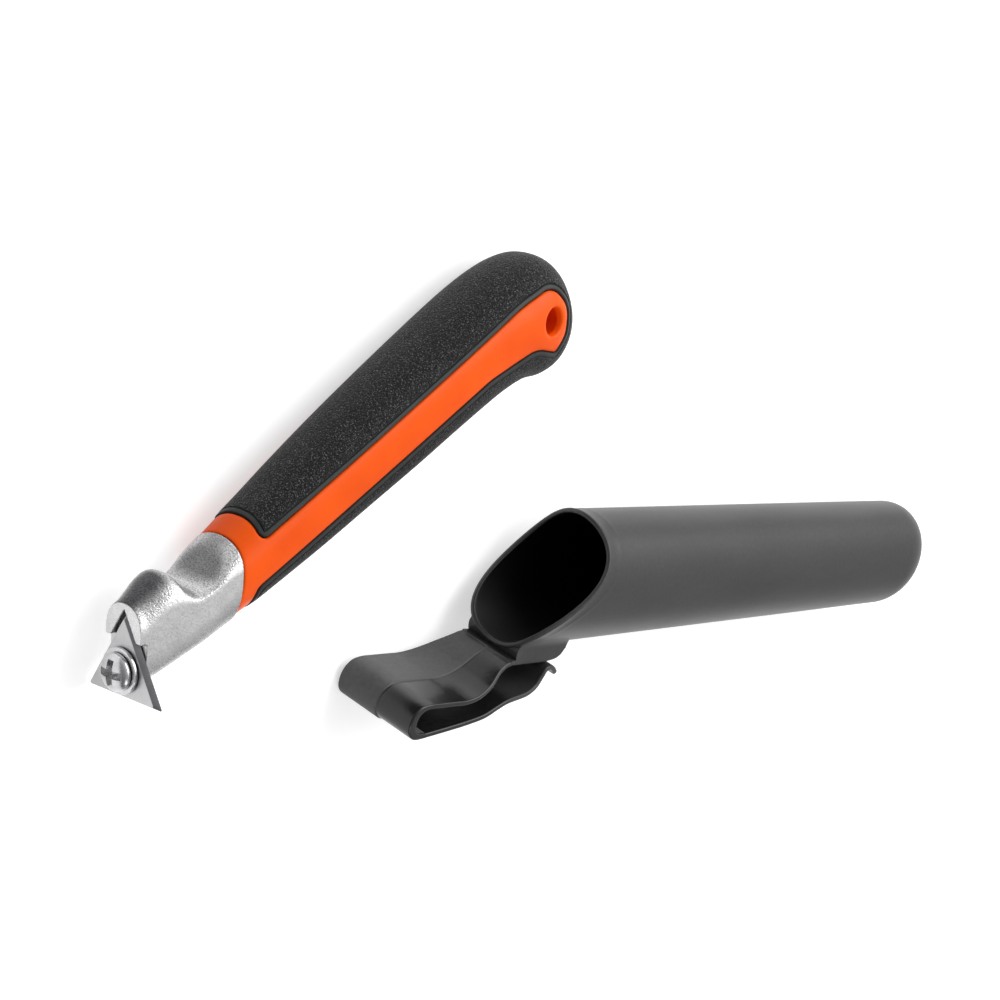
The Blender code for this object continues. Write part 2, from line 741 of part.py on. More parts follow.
def build():
    clear_scene()
    part_frame = make_frame("part_frame", None, Matrix.Rotation(-HOLSTER_HEADING, 4, "Z"))
    tool_frame = make_frame("tool_frame", part_frame)
    blade_frame = make_frame("blade_frame", tool_frame, Matrix.Rotation(-BLADE_TILT, 4, "Z"))
    holster_frame = make_frame("holster_frame", part_frame, holster_matrix())
    tool_pieces = [
        make_core(tool_frame),
        make_cover(tool_frame),
        make_head(blade_frame, tool_frame),
        make_blade(blade_frame),
        make_washer(blade_frame),
        make_screw(blade_frame),
    ]
    tongue = make_tongue(holster_frame)
    move_origin(tongue, tongue_hinge())
    holster_pieces = [make_sleeve(holster_frame), tongue]
    set_down(part_frame, tool_frame, holster_frame, tool_pieces, holster_pieces)


build()
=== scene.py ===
from math import pi, radians

import bmesh
import bpy
import numpy as np
from mathutils import Matrix, Vector


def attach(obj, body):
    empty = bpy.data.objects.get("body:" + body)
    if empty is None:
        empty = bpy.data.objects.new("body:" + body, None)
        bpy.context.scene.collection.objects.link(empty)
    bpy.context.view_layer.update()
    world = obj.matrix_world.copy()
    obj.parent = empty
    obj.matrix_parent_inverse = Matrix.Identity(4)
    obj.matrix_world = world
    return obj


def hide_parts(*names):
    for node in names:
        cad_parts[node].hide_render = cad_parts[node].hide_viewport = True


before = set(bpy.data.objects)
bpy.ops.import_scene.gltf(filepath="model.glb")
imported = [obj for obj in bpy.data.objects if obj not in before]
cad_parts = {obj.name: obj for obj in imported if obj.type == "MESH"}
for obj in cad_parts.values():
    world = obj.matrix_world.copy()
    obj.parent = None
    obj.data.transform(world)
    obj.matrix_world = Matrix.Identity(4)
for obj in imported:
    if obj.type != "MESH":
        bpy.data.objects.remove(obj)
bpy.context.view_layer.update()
mm = 0.001

# Where the tool, its blade end and the holster lie in the shared frame.
# Pieces are drawn in millimetres in these three frames, as the solids are.
toolPlace = Matrix((
    (0.793353, -0.608761, 0, -0.153376),
    (0.608761, 0.793353, 0, -0.040334),
    (0, 0, 1, 0.012949),
    (0, 0, 0, 1),
)) @ Matrix.Scale(mm, 4)
bladePlace = Matrix((
    (0.984808, -0.173648, 0, -0.153376),
    (0.173648, 0.984808, 0, -0.040334),
    (0, 0, 1, 0.012949),
    (0, 0, 0, 1),
)) @ Matrix.Scale(mm, 4)
holsterPlace = Matrix((
    (0.999657, 0.005621, 0.025566, -0.014108),
    (0, 0.976672, -0.214735, -0.022081),
    (-0.026177, 0.214662, 0.976338, 0.019501),
    (0, 0, 0, 1),
)) @ Matrix.Scale(mm, 4)


# Helpers for materials.
def linear(hexColor):
    parts = [int(hexColor[i:i + 2], 16) / 255 for i in (1, 3, 5)]
    return tuple(p / 12.92 if p < 0.04045 else ((p + 0.055) / 1.055) ** 2.4 for p in parts) + (1,)


def wire(node, links):
    # a link's source is a socket, or a node whose first output is taken
    for socket, source in links.items():
        if isinstance(source, bpy.types.Node):
            source = source.outputs[0]
        node.id_data.links.new(source, node.inputs[socket])


def addNode(tree, kind, values=None, links=None, stops=(), **settings):
    # stops are places and colours along a colour ramp
    node = tree.nodes.new(kind)
    for key, value in settings.items():
        setattr(node, key, value)
    for socket, value in (values or {}).items():
        node.inputs[socket].default_value = value
    for index, (place, color) in enumerate(stops):
        elements = node.color_ramp.elements
        element = elements[index] if index < 2 else elements.new(place)
        element.position = place
        element.color = linear(color) if isinstance(color, str) else (color, color, color, 1)
    wire(node, links or {})
    return node


def newMaterial(name, **values):
    material = bpy.data.materials.new(name)
    material.use_nodes = True
    tree = material.node_tree
    shader = tree.nodes["Principled BSDF"]
    for socket, value in values.items():
        shader.inputs[socket.replace("_", " ")].default_value = value
    spot = addNode(tree, "ShaderNodeTexCoord").outputs["Object"]
    return material, tree, shader, spot


# Helpers for shapes.
def smoothRows(rows, steps):
    # the same cubic curve through a table's rows as the solids have, with more steps
    table = np.array(rows, float)
    return np.array([tableAt(table, index / steps) for index in range((len(table) - 1) * steps + 1)])


def tableAt(table, place):
    last = len(table) - 1
    index = min(int(place), last - 1)
    t = place - index
    p0, p1, p2, p3 = (table[min(max(index + k, 0), last)] for k in (-1, 0, 1, 2))
    bend = p0 - 2.5 * p1 + 2 * p2 - p3 / 2
    twist = (p3 - p0) / 2 + 1.5 * (p1 - p2)
    return p1 + t * ((p2 - p0) / 2 + t * (bend + t * twist))


def power(value, roundness):
    return np.sign(value) * np.abs(value) ** (2 / roundness)


def addObject(name, data):
    made = bpy.data.objects.new(name, data)
    bpy.context.scene.collection.objects.link(made)
    return made


def shadeMesh(mesh, sharpAngle):
    mesh.shade_smooth()
    mesh.set_sharp_from_angle(angle=radians(sharpAngle))


def markPoints(mesh, name, values):
    mesh.attributes.new(name, "FLOAT", "POINT").data.foreach_set("value", values)


def makePiece(name, points, faces, place, sharpAngle=40):
    mesh = bpy.data.meshes.new(name)
    mesh.from_pydata([tuple(point) for point in points], [], [tuple(map(int, face)) for face in faces])
    mesh.update()
    mesh.transform(place)
    return finishMesh(name, mesh, sharpAngle)


def finishMesh(name, mesh, sharpAngle):
    shape = bmesh.new()
    shape.from_mesh(mesh)
    bmesh.ops.recalc_face_normals(shape, faces=shape.faces)
    shape.to_mesh(mesh)
    shape.free()
    shadeMesh(mesh, sharpAngle)
    return addObject(name, mesh)


def loft(rings, closed=False):
    # skin over rings of equal count: capped at both ends, or joined end to start
    count = len(rings[0])
    points = np.concatenate(rings)
    faces = []
    rows = len(rings)
    for row in range(rows if closed else rows - 1):
        low, high = row * count, (row + 1) % rows * count
        faces += [(low + k, low + (k + 1) % count, high + (k + 1) % count, high + k) for k in range(count)]
    if not closed:
        faces += [tuple(reversed(range(count))), tuple(range((rows - 1) * count, rows * count))]
    return points, faces


def turned(profile, segments, closed=False):
    # a profile of (along, radius) turned round the x axis
    turns = np.linspace(0, 2 * pi, segments, endpoint=False)
    rings = [np.stack([np.full(segments, x), r * np.cos(turns), r * np.sin(turns)], 1) for x, r in profile]
    return loft(rings, closed)


def applyModifiers(piece):
    graph = bpy.context.evaluated_depsgraph_get()
    mesh = bpy.data.meshes.new_from_object(piece.evaluated_get(graph))
    piece.modifiers.clear()
    piece.data = mesh


def cutAway(piece, points, faces, place):
    # takes a closed shape out of a piece
    cutter = makePiece("cutter", points, faces, place)
    step = piece.modifiers.new("cut", "BOOLEAN")
    step.operation, step.object, step.solver = "DIFFERENCE", cutter, "EXACT"
    applyModifiers(piece)
    bpy.data.objects.remove(cutter)


def addShell(piece, extra):
    # a second closed shell in the same piece
    joined = bmesh.new()
    joined.from_mesh(piece.data)
    joined.from_mesh(extra.data)
    joined.to_mesh(piece.data)
    joined.free()
    bpy.data.objects.remove(extra)


def standFor(piece, node, body, slot, *materials):
    for material in materials:
        piece.data.materials.append(material)
    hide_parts(node)
    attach(piece, body)


# a rounded corner takes at most this share of each side
cornerShare = 0.48


def roundedOutline(corners, arcSteps):
    # closed outline from corners (x, y, radius)
    outline = []
    count = len(corners)
    for index, (x, y, radius) in enumerate(corners):
        corner = np.array((x, y), float)
        if radius == 0:
            outline.append(corner)
            continue
        back = np.array(corners[index - 1][:2]) - corner
        ahead = np.array(corners[(index + 1) % count][:2]) - corner
        backLength, aheadLength = np.linalg.norm(back), np.linalg.norm(ahead)
        back, ahead = back / backLength, ahead / aheadLength
        half = np.arccos(np.clip(back @ ahead, -1, 1)) / 2
        reach = min(radius / np.tan(half), min(backLength, aheadLength) * cornerShare)
        inwards = (back + ahead) / np.linalg.norm(back + ahead)
        centre = corner + inwards * reach / np.cos(half)
        first = corner + back * reach - centre
        second = corner + ahead * reach - centre
        sweep = np.arctan2(first[0] * second[1] - first[1] * second[0], first @ second)
        for step in range(arcSteps + 1):
            turn = sweep * step / arcSteps
            spin = np.array(((np.cos(turn), -np.sin(turn)), (np.sin(turn), np.cos(turn))))
            outline.append(centre + spin @ first)
    return np.array(outline)


def outlineDistance(outline, spots):
    # distance of each spot from a closed outline, below zero inside it
    start, end = outline, np.roll(outline, -1, axis=0)
    run = end - start
    best = np.full(len(spots), 1e9)
    inside = np.zeros(len(spots), bool)
    for a, b, way in zip(start, end, run):
        share = np.clip(((spots - a) @ way) / max(way @ way, 1e-12), 0, 1)
        best = np.minimum(best, np.linalg.norm(spots - a - share[:, None] * way, axis=1))
        straddles = (a[1] > spots[:, 1]) != (b[1] > spots[:, 1])
        level = a[0] + (spots[:, 1] - a[1]) * way[0] / (way[1] if way[1] else 1)
        inside ^= straddles & (spots[:, 0] < level)
    return np.where(inside, -best, best)


def archSection(halfWidth, bottom, lowSpring, highSpring, top, lowRound, highRound, count):
    # closed section (up, sideways) of two arches on straight sides
    turns = -2 * pi * (np.arange(count) + 0.5) / count
    rise = np.sin(turns)
    upper = rise >= 0
    side = halfWidth * np.where(upper, power(np.cos(turns), highRound), power(np.cos(turns), lowRound))
    high = highSpring + (top - highSpring) * power(rise, highRound)
    low = lowSpring + (lowSpring - bottom) * power(rise, lowRound)
    return np.where(upper, high, low), side


# The grip is one skin for both plastics, split along the edge of the hard panel.

grip = {
    "length": 126.2,
    "halfHeight": 17.6,
    "halfWidth": 13.4,
    "start": (32.55, 1.9),
    "tilt": radians(27.5),
    "rounds": (2.0, 2.3),
    "widest": 0.12,
    "band": 5.8,
    "panelTop": 7.4,
    "panelBottom": -2.6,
    "panelCorner": 1.6,
    "holeAt": (0.903, -3.0),
    "holeRadius": 3.8,
    "wall": 1.3,
    "coreWall": 2.2,
    "linerWall": 1.0,
    "linerSink": 0.7,
    "grainFrom": (1.45, 1.62),
    # shares of the last section's size as the butt closes over, and how far it bulges, as a share of length
    "buttShares": (0.84, 0.66, 0.48, 0.3, 0.12),
    "buttBulge": 0.0056,
    # first places along the table, close together for the front edge's rounding
    "frontPlaces": (0, 0.014, 0.042),
    "rowsBetween": 11,
    "columns": 132,
    "arcSteps": 14,
    "holeSteps": 96,
    "sharpAngle": 34,
}
# shares of grip length, of half height (centre line, half height), of half width, of tilt
gripTable = (
    (0.000, 0.088, 0.560, 0.709, 1.00),
    (0.067, 0.070, 0.612, 0.739, 0.70),
    (0.144, 0.056, 0.656, 0.772, 0.40),
    (0.229, 0.050, 0.707, 0.806, 0.15),
    (0.360, 0.046, 0.759, 0.858, 0.00),
    (0.493, 0.032, 0.800, 0.903, 0.00),
    (0.628, 0.018, 0.821, 0.943, 0.00),
    (0.745, -0.010, 0.845, 0.972, 0.00),
    (0.818, -0.072, 0.887, 0.988, 0.00),
    (0.871, -0.180, 0.962, 0.990, 0.00),
    (0.918, -0.240, 0.955, 0.945, 0.00),
    (0.960, -0.255, 0.845, 0.810, 0.00),
    (0.990, -0.265, 0.630, 0.580, 0.00),
    (1.005, -0.270, 0.270, 0.240, 0.00),
)
# share of grip length, height and corner radius as shares of half height
panelEnd = (
    (0.838, 0.425, 2.60),
    (0.935, 0.300, 0.40),
    (0.961, -0.200, 0.35),
    (0.930, -0.560, 0.25),
    (0.890, -0.700, 0.05),
    (0.838, -0.340, 0.60),
    (0.700, -0.165, 1.00),
)
# how far each plastic stands off the skin (mm), by distance from the panel's edge (mm)
coverEdge = ((0.22, -0.4), (0.28, -0.14), (0.4, -0.03), (0.6, 0.0), (1.15, 0.0), (1.24, -0.08),
             (1.34, -0.3), (1.44, -0.08), (1.53, 0.02), (1.8, 0.06))
coreEdge = ((-1.0, -0.3), (-0.55, -0.33), (-0.28, -0.42), (-0.1, -0.58), (0.0, -0.85))
holeEdge = ((0.02, -0.75), (0.2, -0.36), (0.5, -0.14), (0.9, -0.02), (1.3, 0))
frontEdge = ((0, -0.35), (0.12, -0.14), (0.35, -0.03), (0.7, 0))


def gripRow(row):
    share, centre, high, wide, tilt = row
    halfHeight, halfWidth = grip["halfHeight"] * high, grip["halfWidth"] * wide
    spring = halfHeight * grip["widest"]
    up, side = archSection(halfWidth, -halfHeight, spring, spring, halfHeight,
                           *grip["rounds"], grip["columns"])
    along = grip["start"][0] + grip["length"] * share + up * np.tan(grip["tilt"] * tilt)
    return np.stack([along, grip["halfHeight"] * centre + up, side], 1)


def gripSkin():
    table = np.array(gripTable)
    fine = 1 / grip["rowsBetween"]
    steps = (len(table) - 1) * grip["rowsBetween"]
    places = list(grip["frontPlaces"]) + list(np.arange(1, steps + 1) * fine)
    rows = [tableAt(table, place) for place in places]
    end = table[-1]
    for share in grip["buttShares"]:  # the butt closes over as a shallow bowl
        along = end[0] + grip["buttBulge"] * (1 - share ** 2)
        rows.append((along, end[1], end[2] * share, end[3] * share, 0))
    rings = np.array([gripRow(row) for row in rows])
    tip = rings[-1].mean(axis=0)
    lengthwise = np.gradient(rings, axis=0)
    around = np.roll(rings, -1, axis=1) - np.roll(rings, 1, axis=1)
    normals = np.cross(lengthwise, around)
    normals /= np.linalg.norm(normals, axis=2)[..., None]
    outwards = (normals * (rings - rings.mean(axis=1)[:, None])).sum()
    normals *= np.sign(outwards)
    count = grip["columns"]
    points = np.concatenate([rings.reshape(-1, 3), [tip]])
    normals = np.concatenate([normals.reshape(-1, 3), [(1, 0, 0)]])
    front = np.array([row[0] for row in rows]) * grip["length"]
    front = np.append(np.repeat(front, count), front[-1])
    faces = []
    for low in range(0, (len(rows) - 1) * count, count):
        high = low + count
        faces += [[low + k, low + (k + 1) % count, high + (k + 1) % count, high + k] for k in range(count)]
    low = (len(rows) - 1) * count
    faces += [[low + k, low + (k + 1) % count, len(points) - 1] for k in range(count)]
    return {"points": points, "normals": normals, "front": front, "faces": faces}


# a point this close to a cut (mm) is taken as on it
nearCut = 0.015


def cutAlong(skin, field, level):
    # splits the faces of the skin where a field of the side view crosses a level
    value = field(skin["points"]) - level
    value[np.abs(value) < nearCut] = 0
    side = np.sign(value)
    found = {}
    for face in skin["faces"]:
        for a, b in zip(face, face[1:] + face[:1]):
            if side[a] * side[b] < 0:
                found.setdefault((min(a, b), max(a, b)), len(skin["points"]) + len(found))
    if found:
        low, high = np.array(list(found)).T
        share = value[low] / (value[low] - value[high])
        for attempt in range(3):
            spots = skin["points"][low] + share[:, None] * (skin["points"][high] - skin["points"][low])
            error = field(spots) - level
            share = np.clip(share + error / (value[low] - value[high]), 0.001, 0.999)
        for key in ("points", "normals", "front"):
            old = skin[key]
            weight = share[:, None] if old.ndim == 2 else share
            skin[key] = np.concatenate([old, old[low] + weight * (old[high] - old[low])])
    faces = []
    for face in skin["faces"]:
        loop, marks = [], []
        for a, b in zip(face, face[1:] + face[:1]):
            if side[a] == 0:
                marks.append(len(loop))
            loop.append(a)
            if side[a] * side[b] < 0:
                marks.append(len(loop))
                loop.append(found[(min(a, b), max(a, b))])
        if len(marks) == 2 and 1 < marks[1] - marks[0] < len(loop) - 1:
            faces.append(loop[marks[0]:marks[1] + 1])
            faces.append(loop[marks[1]:] + loop[:marks[0] + 1])
        else:
            faces.append(loop)
    skin["faces"] = faces


def panelField(points):
    return outlineDistance(panelOutline, points[:, :2])


def holeField(points):
    along = grip["start"][0] + grip["length"] * grip["holeAt"][0]
    return np.hypot(points[:, 0] - along, points[:, 1] - grip["holeAt"][1]) - grip["holeRadius"]


def makePanelOutline():
    slope = np.tan(grip["tilt"])
    reach = grip["halfHeight"] * 2
    startAlong, startUp = grip["start"]
    band = startAlong + grip["band"] / np.cos(grip["tilt"])

    def onBand(up):
        return band + (up - startUp) * slope

    far = startAlong - grip["length"]
    bottom = grip["panelBottom"]
    corners = [(far, reach, 0), (far, -reach, 0), (onBand(-reach), -reach, 0),
               (onBand(bottom), bottom, grip["panelCorner"])]
    half, top = grip["halfHeight"], grip["panelTop"]
    for share, up, radius in reversed(panelEnd):
        corners.append((startAlong + grip["length"] * share, half * up, half * radius))
    corners += [(onBand(top), top, grip["panelCorner"]), (onBand(reach), reach, 0)]
    return roundedOutline(corners, grip["arcSteps"])


def shellPiece(name, skin, keep, heights, wall):
    # a closed shell: the kept faces at their own heights, a wall's thickness inwards, and the rims
    faces = [face for face, kept in zip(skin["faces"], keep) if kept]
    used = np.unique(np.concatenate([np.array(face) for face in faces]))
    place = {int(old): new for new, old in enumerate(used)}
    faces = [[place[v] for v in face] for face in faces]
    base, normals = skin["points"][used], skin["normals"][used]
    outer = base + normals * heights[used][:, None]
    inner = base - normals * wall
    count = len(used)
    edges = set()
    for face in faces:
        edges.update(zip(face, face[1:] + face[:1]))
    rims = [(b, a, a + count, b + count) for a, b in edges if (b, a) not in edges]
    inside = [[v + count for v in reversed(face)] for face in faces]
    points = np.concatenate([outer, inner])
    return makePiece(name, points, faces + inside + rims, toolPlace, grip["sharpAngle"]), used


def holeLiner(skin):
    # a tube through the butt, its ends just under the rounded rim on both faces
    edge = skin["points"][np.abs(holeField(skin["points"]) - holeEdge[0][0]) < 0.02]
    along = grip["start"][0] + grip["length"] * grip["holeAt"][0]
    up = grip["holeAt"][1]
    turns = np.linspace(0, 2 * pi, grip["holeSteps"], endpoint=False)
    sides = {}
    for sign in (1, -1):
        rim = edge[np.sign(edge[:, 2]) == sign]
        angle = np.arctan2(rim[:, 1] - up, rim[:, 0] - along) % (2 * pi)
        order = np.argsort(angle)
        sides[sign] = np.interp(turns, angle[order], rim[order, 2], period=2 * pi)
    rings, sink = [], grip["linerSink"]
    for wall, shares in ((0.0, (1, 0.5, 0, -0.5, -1)), (grip["linerWall"], (-1, 0, 1))):
        size = grip["holeRadius"] + wall
        for share in shares:
            z = np.where(share >= 0, share * (sides[1] - sink), -share * (sides[-1] + sink))
            rings.append(np.stack([along + size * np.cos(turns), up + size * np.sin(turns), z], 1))
    return loft(rings, closed=True)


def makeGrip():
    skin = gripSkin()
    for level, height in coverEdge + coreEdge:
        cutAlong(skin, panelField, level)
    for level, height in holeEdge:
        cutAlong(skin, holeField, level)
    points = skin["points"]
    panel, hole = panelField(points), holeField(points)
    front = np.interp(skin["front"], *zip(*frontEdge))
    centres = np.array([points[face].mean(axis=0) for face in skin["faces"]])
    panelAt, holeAt = panelField(centres), holeField(centres)
    coverHeight = np.interp(panel, *zip(*coverEdge))
    coreHeight = np.interp(panel, *zip(*coreEdge)) + np.interp(hole, *zip(*holeEdge)) + front
    cover, used = shellPiece("softCover", skin, panelAt > coverEdge[0][0], coverHeight, grip["wall"])
    grain = np.interp(panel[used], grip["grainFrom"], (0, 1))
    markPoints(cover.data, "grain", np.concatenate([grain, grain]))
    inPanel = (panelAt < 0) & (holeAt > holeEdge[0][0])
    core, used = shellPiece("hardCore", skin, inPanel, coreHeight, grip["coreWall"])
    addShell(core, makePiece("liner", *holeLiner(skin), toolPlace))
    return core, cover


def orangeMoulding():
    # injection-moulded polypropylene: a deep clean orange with a soft, slightly uneven gloss
    material, tree, shader, spot = newMaterial(
        "orangePolypropylene", Roughness=0.36, IOR=1.49, Specular_IOR_Level=0.14)
    melt = addNode(tree, "ShaderNodeTexNoise", {"Scale": 1 / (11 * mm), "Detail": 3}, {"Vector": spot})
    gloss = addNode(tree, "ShaderNodeTexNoise", {"Scale": 1 / (3 * mm), "Detail": 4}, {"Vector": spot})
    skin = addNode(tree, "ShaderNodeTexNoise", {"Scale": 1 / (1.4 * mm), "Detail": 3}, {"Vector": spot})
    wire(shader, {
        "Base Color": addNode(tree, "ShaderNodeValToRGB", links={0: melt},
                              stops=((0.3, "#EF5706"), (0.7, "#E44F04"))),
        "Roughness": addNode(tree, "ShaderNodeValToRGB", links={0: gloss},
                             stops=((0.3, 0.28), (0.75, 0.42))),
        "Normal": addNode(tree, "ShaderNodeBump", {"Distance": 0.006 * mm}, {"Height": skin}),
    })
    return material


def grainedElastomer():
    # spark-eroded thermoplastic elastomer: matt black pebbles whose light tops are painted highlights,
    # smooth borders
    material, tree, shader, spot = newMaterial(
        "grainedElastomer", Roughness=0.6, IOR=1.5, Specular_IOR_Level=0.18, Sheen_Weight=0.02,
        Sheen_Roughness=0.35)
    mask = addNode(tree, "ShaderNodeAttribute", attribute_name="grain").outputs["Fac"]
    # real grain is about 0.2 mm, drawn coarser so that it shows
    pebble = addNode(tree, "ShaderNodeTexNoise", {"Scale": 1 / (0.32 * mm), "Detail": 1.5},
                     {"Vector": spot})
    cell = addNode(tree, "ShaderNodeTexVoronoi", {"Scale": 1 / (0.7 * mm)}, {"Vector": spot})
    height = addNode(tree, "ShaderNodeMath", {2: 0.5}, {0: cell, 1: pebble}, operation="MULTIPLY_ADD")
    masked = addNode(tree, "ShaderNodeMath", links={0: height, 1: mask}, operation="MULTIPLY")
    cloud = addNode(tree, "ShaderNodeTexNoise", {"Scale": 1 / (4 * mm), "Detail": 3}, {"Vector": spot})
    # the pebbles' dark tones are grain, and their light tops are painted highlights
    grainAndPaintedGlints = addNode(tree, "ShaderNodeValToRGB", links={0: pebble},
                      stops=((0.36, "#030304"), (0.5, "#09090A"), (0.58, "#1E1E1F"), (0.68, "#606061")))
    plain = addNode(tree, "ShaderNodeValToRGB", links={0: cloud},
                    stops=((0.3, "#323434"), (0.7, "#2A2C2C")))
    wire(shader, {
        "Base Color": addNode(tree, "ShaderNodeMix", links={0: mask, 6: plain, 7: grainAndPaintedGlints},
                              data_type="RGBA").outputs[2],
        "Roughness": addNode(tree, "ShaderNodeMapRange", {3: 0.42, 4: 0.54}, {0: mask}),
        "Normal": addNode(tree, "ShaderNodeBump", {"Distance": 0.42 * mm}, {"Height": masked}),
    })
    return material


panelOutline = makePanelOutline()
hardCore, softCover = makeGrip()
standFor(hardCore, "handle_core", "handle", "orange_plastic", orangeMoulding())
standFor(softCover, "grip_cover", "handle", "soft_grip", grainedElastomer())
print("grip done", len(hardCore.data.polygons), len(softCover.data.polygons))

# The cast head is drawn in the blade's frame: x runs from the nose to the collar.

head = {
    "length": 28.0,
    "height": 27.2,
    "halfWidth": 9.1,
    "lip": 7.7,
    "bladeSide": 25.0,
    "gap": 0.3,
    "cutFrom": -20,
    "cutReach": 25,
    "bore": 2.7,
    "boreTo": 7.7,
    # tang: where it begins, its length, half height, half width, and size at its end as a share
    "tang": (28.05, 34.0, 4.5, 3.5, 0.72),
    "lowRound": 2.15,
    "rowsBetween": 8,
    "columns": 120,
    "voxel": 0.22,
    # how far a face may turn sideways or to the nose before it is no longer peened
    "peenSide": (0.99, 0.12),
    "peenNose": (0.98, 0.1),
    # painted shade patches: way they face, how wide, how strong, and where along the head they begin
    "paintedShade": (((-0.57, 0.82, 0.03), 0.70, 1.0, (10, 7)), ((-0.80, 0.60, 0.05), 0.87, 0.8, (13, 17))),
}
# shares of length, of height (bottom, lower and upper spring, top), of half width; roundness of the top
headTable = (
    (-0.055, -0.100, 0.180, 0.360, 0.605, 0.655, 2.20),
    (0.020, -0.120, 0.180, 0.370, 0.645, 0.680, 2.20),
    (0.107, -0.120, 0.200, 0.450, 0.705, 0.715, 2.15),
    (0.196, -0.103, 0.220, 0.520, 0.772, 0.755, 2.15),
    (0.290, -0.068, 0.257, 0.560, 0.814, 0.800, 2.15),
    (0.360, -0.043, 0.294, 0.570, 0.796, 0.838, 2.15),
    (0.450, -0.010, 0.330, 0.565, 0.694, 0.868, 2.20),
    (0.560, 0.030, 0.368, 0.560, 0.632, 0.901, 2.30),
    (0.714, 0.085, 0.441, 0.612, 0.714, 0.940, 2.20),
    (0.857, 0.138, 0.551, 0.682, 0.882, 0.975, 2.15),
    (1.000, 0.188, 0.643, 0.725, 1.000, 1.000, 2.15),
)


def makeHead():
    tall, lip, reach, gap = head["height"], head["lip"], head["cutReach"], head["gap"]
    rings = []
    for along, bottom, low, high, top, wide, roundness in smoothRows(headTable, head["rowsBetween"]):
        up, side = archSection(head["halfWidth"] * wide, tall * bottom, tall * low, tall * high, tall * top,
                               head["lowRound"], roundness, head["columns"])
        rings.append(np.stack([np.full(len(up), head["length"] * along), up, side], 1))
    still = Matrix.Identity(4)
    piece = makePiece("castHead", *loft(rings), still)
    # the blade's seat: a notch for its upper corner under the hood, and a flat below the lip
    tip = head["bladeSide"] / np.sqrt(3) + gap * 2
    spread = (tip - lip) * np.tan(radians(30))
    outline = ((tip, 0), (lip, spread), (lip, reach), (-reach, reach), (-reach, -reach), (lip, -reach),
               (lip, -spread))
    start = head["cutFrom"]
    cutAway(piece, *loft([np.array([(x, *corner) for corner in outline]) for x in (start, gap)]), still)
    cutAway(piece, *turned([(x, head["bore"]) for x in (start, head["boreTo"])], 64), still)
    # the tang goes from inside the head into the grip, along the grip's own axis
    turn = Matrix.Rotation(grip["tilt"], 4, "Z")
    gripAlong, gripUp = grip["start"]
    tangStart, tangLength, tangHigh, tangWide, taper = head["tang"]
    tang = []
    for along, share in ((tangStart, 1), (gripAlong + tangLength, taper)):
        tang.append(np.array([turn @ Vector((along, gripUp + u * tangHigh * share, s * tangWide * share))
                              for u, s in ((-1, -1), (1, -1), (1, 1), (-1, 1))]))
    addShell(piece, makePiece("tang", *loft(tang), still))
    cast = piece.modifiers.new("cast", "REMESH")  # melts the parts into one skin with soft edges
    cast.mode, cast.voxel_size = "VOXEL", head["voxel"]
    soften = piece.modifiers.new("soften", "SMOOTH")
    soften.factor, soften.iterations = 0.5, 5
    applyModifiers(piece)
    mesh = piece.data.copy()
    bpy.data.objects.remove(piece)
    facing, spots = (np.empty(len(mesh.vertices) * 3, np.float32) for kind in range(2))
    mesh.vertex_normals.foreach_get("vector", facing)
    mesh.vertices.foreach_get("co", spots)
    facing, along = facing.reshape(-1, 3), spots[::3]
    # the painted shade mask is 1 on the scoop's back and on the hump, which are painted dark as shade
    paintedShade = np.zeros(len(along))
    for way, least, most, (begin, full) in head["paintedShade"]:
        lobe = np.clip((facing @ np.array(way) - least) / (1 - least), 0, 1)
        place = np.clip((along - begin) / (full - begin), 0, 1)
        paintedShade = np.maximum(paintedShade, most * lobe * lobe * (3 - 2 * lobe) * place)
    markPoints(mesh, "paintedShadeMask", paintedShade)
    # peened is 1 on the arches, which the shot hit harder than the flat sides and the nose
    (sideFrom, sideFade), (noseFrom, noseFade) = head["peenSide"], head["peenNose"]
    offSide = np.clip((sideFrom - np.abs(facing[:, 2])) / sideFade, 0, 1)
    markPoints(mesh, "peened", offSide * np.clip((facing[:, 0] + noseFrom) / noseFade, 0, 1))
    mesh.transform(bladePlace)
    return finishMesh("castHead", mesh, 70)


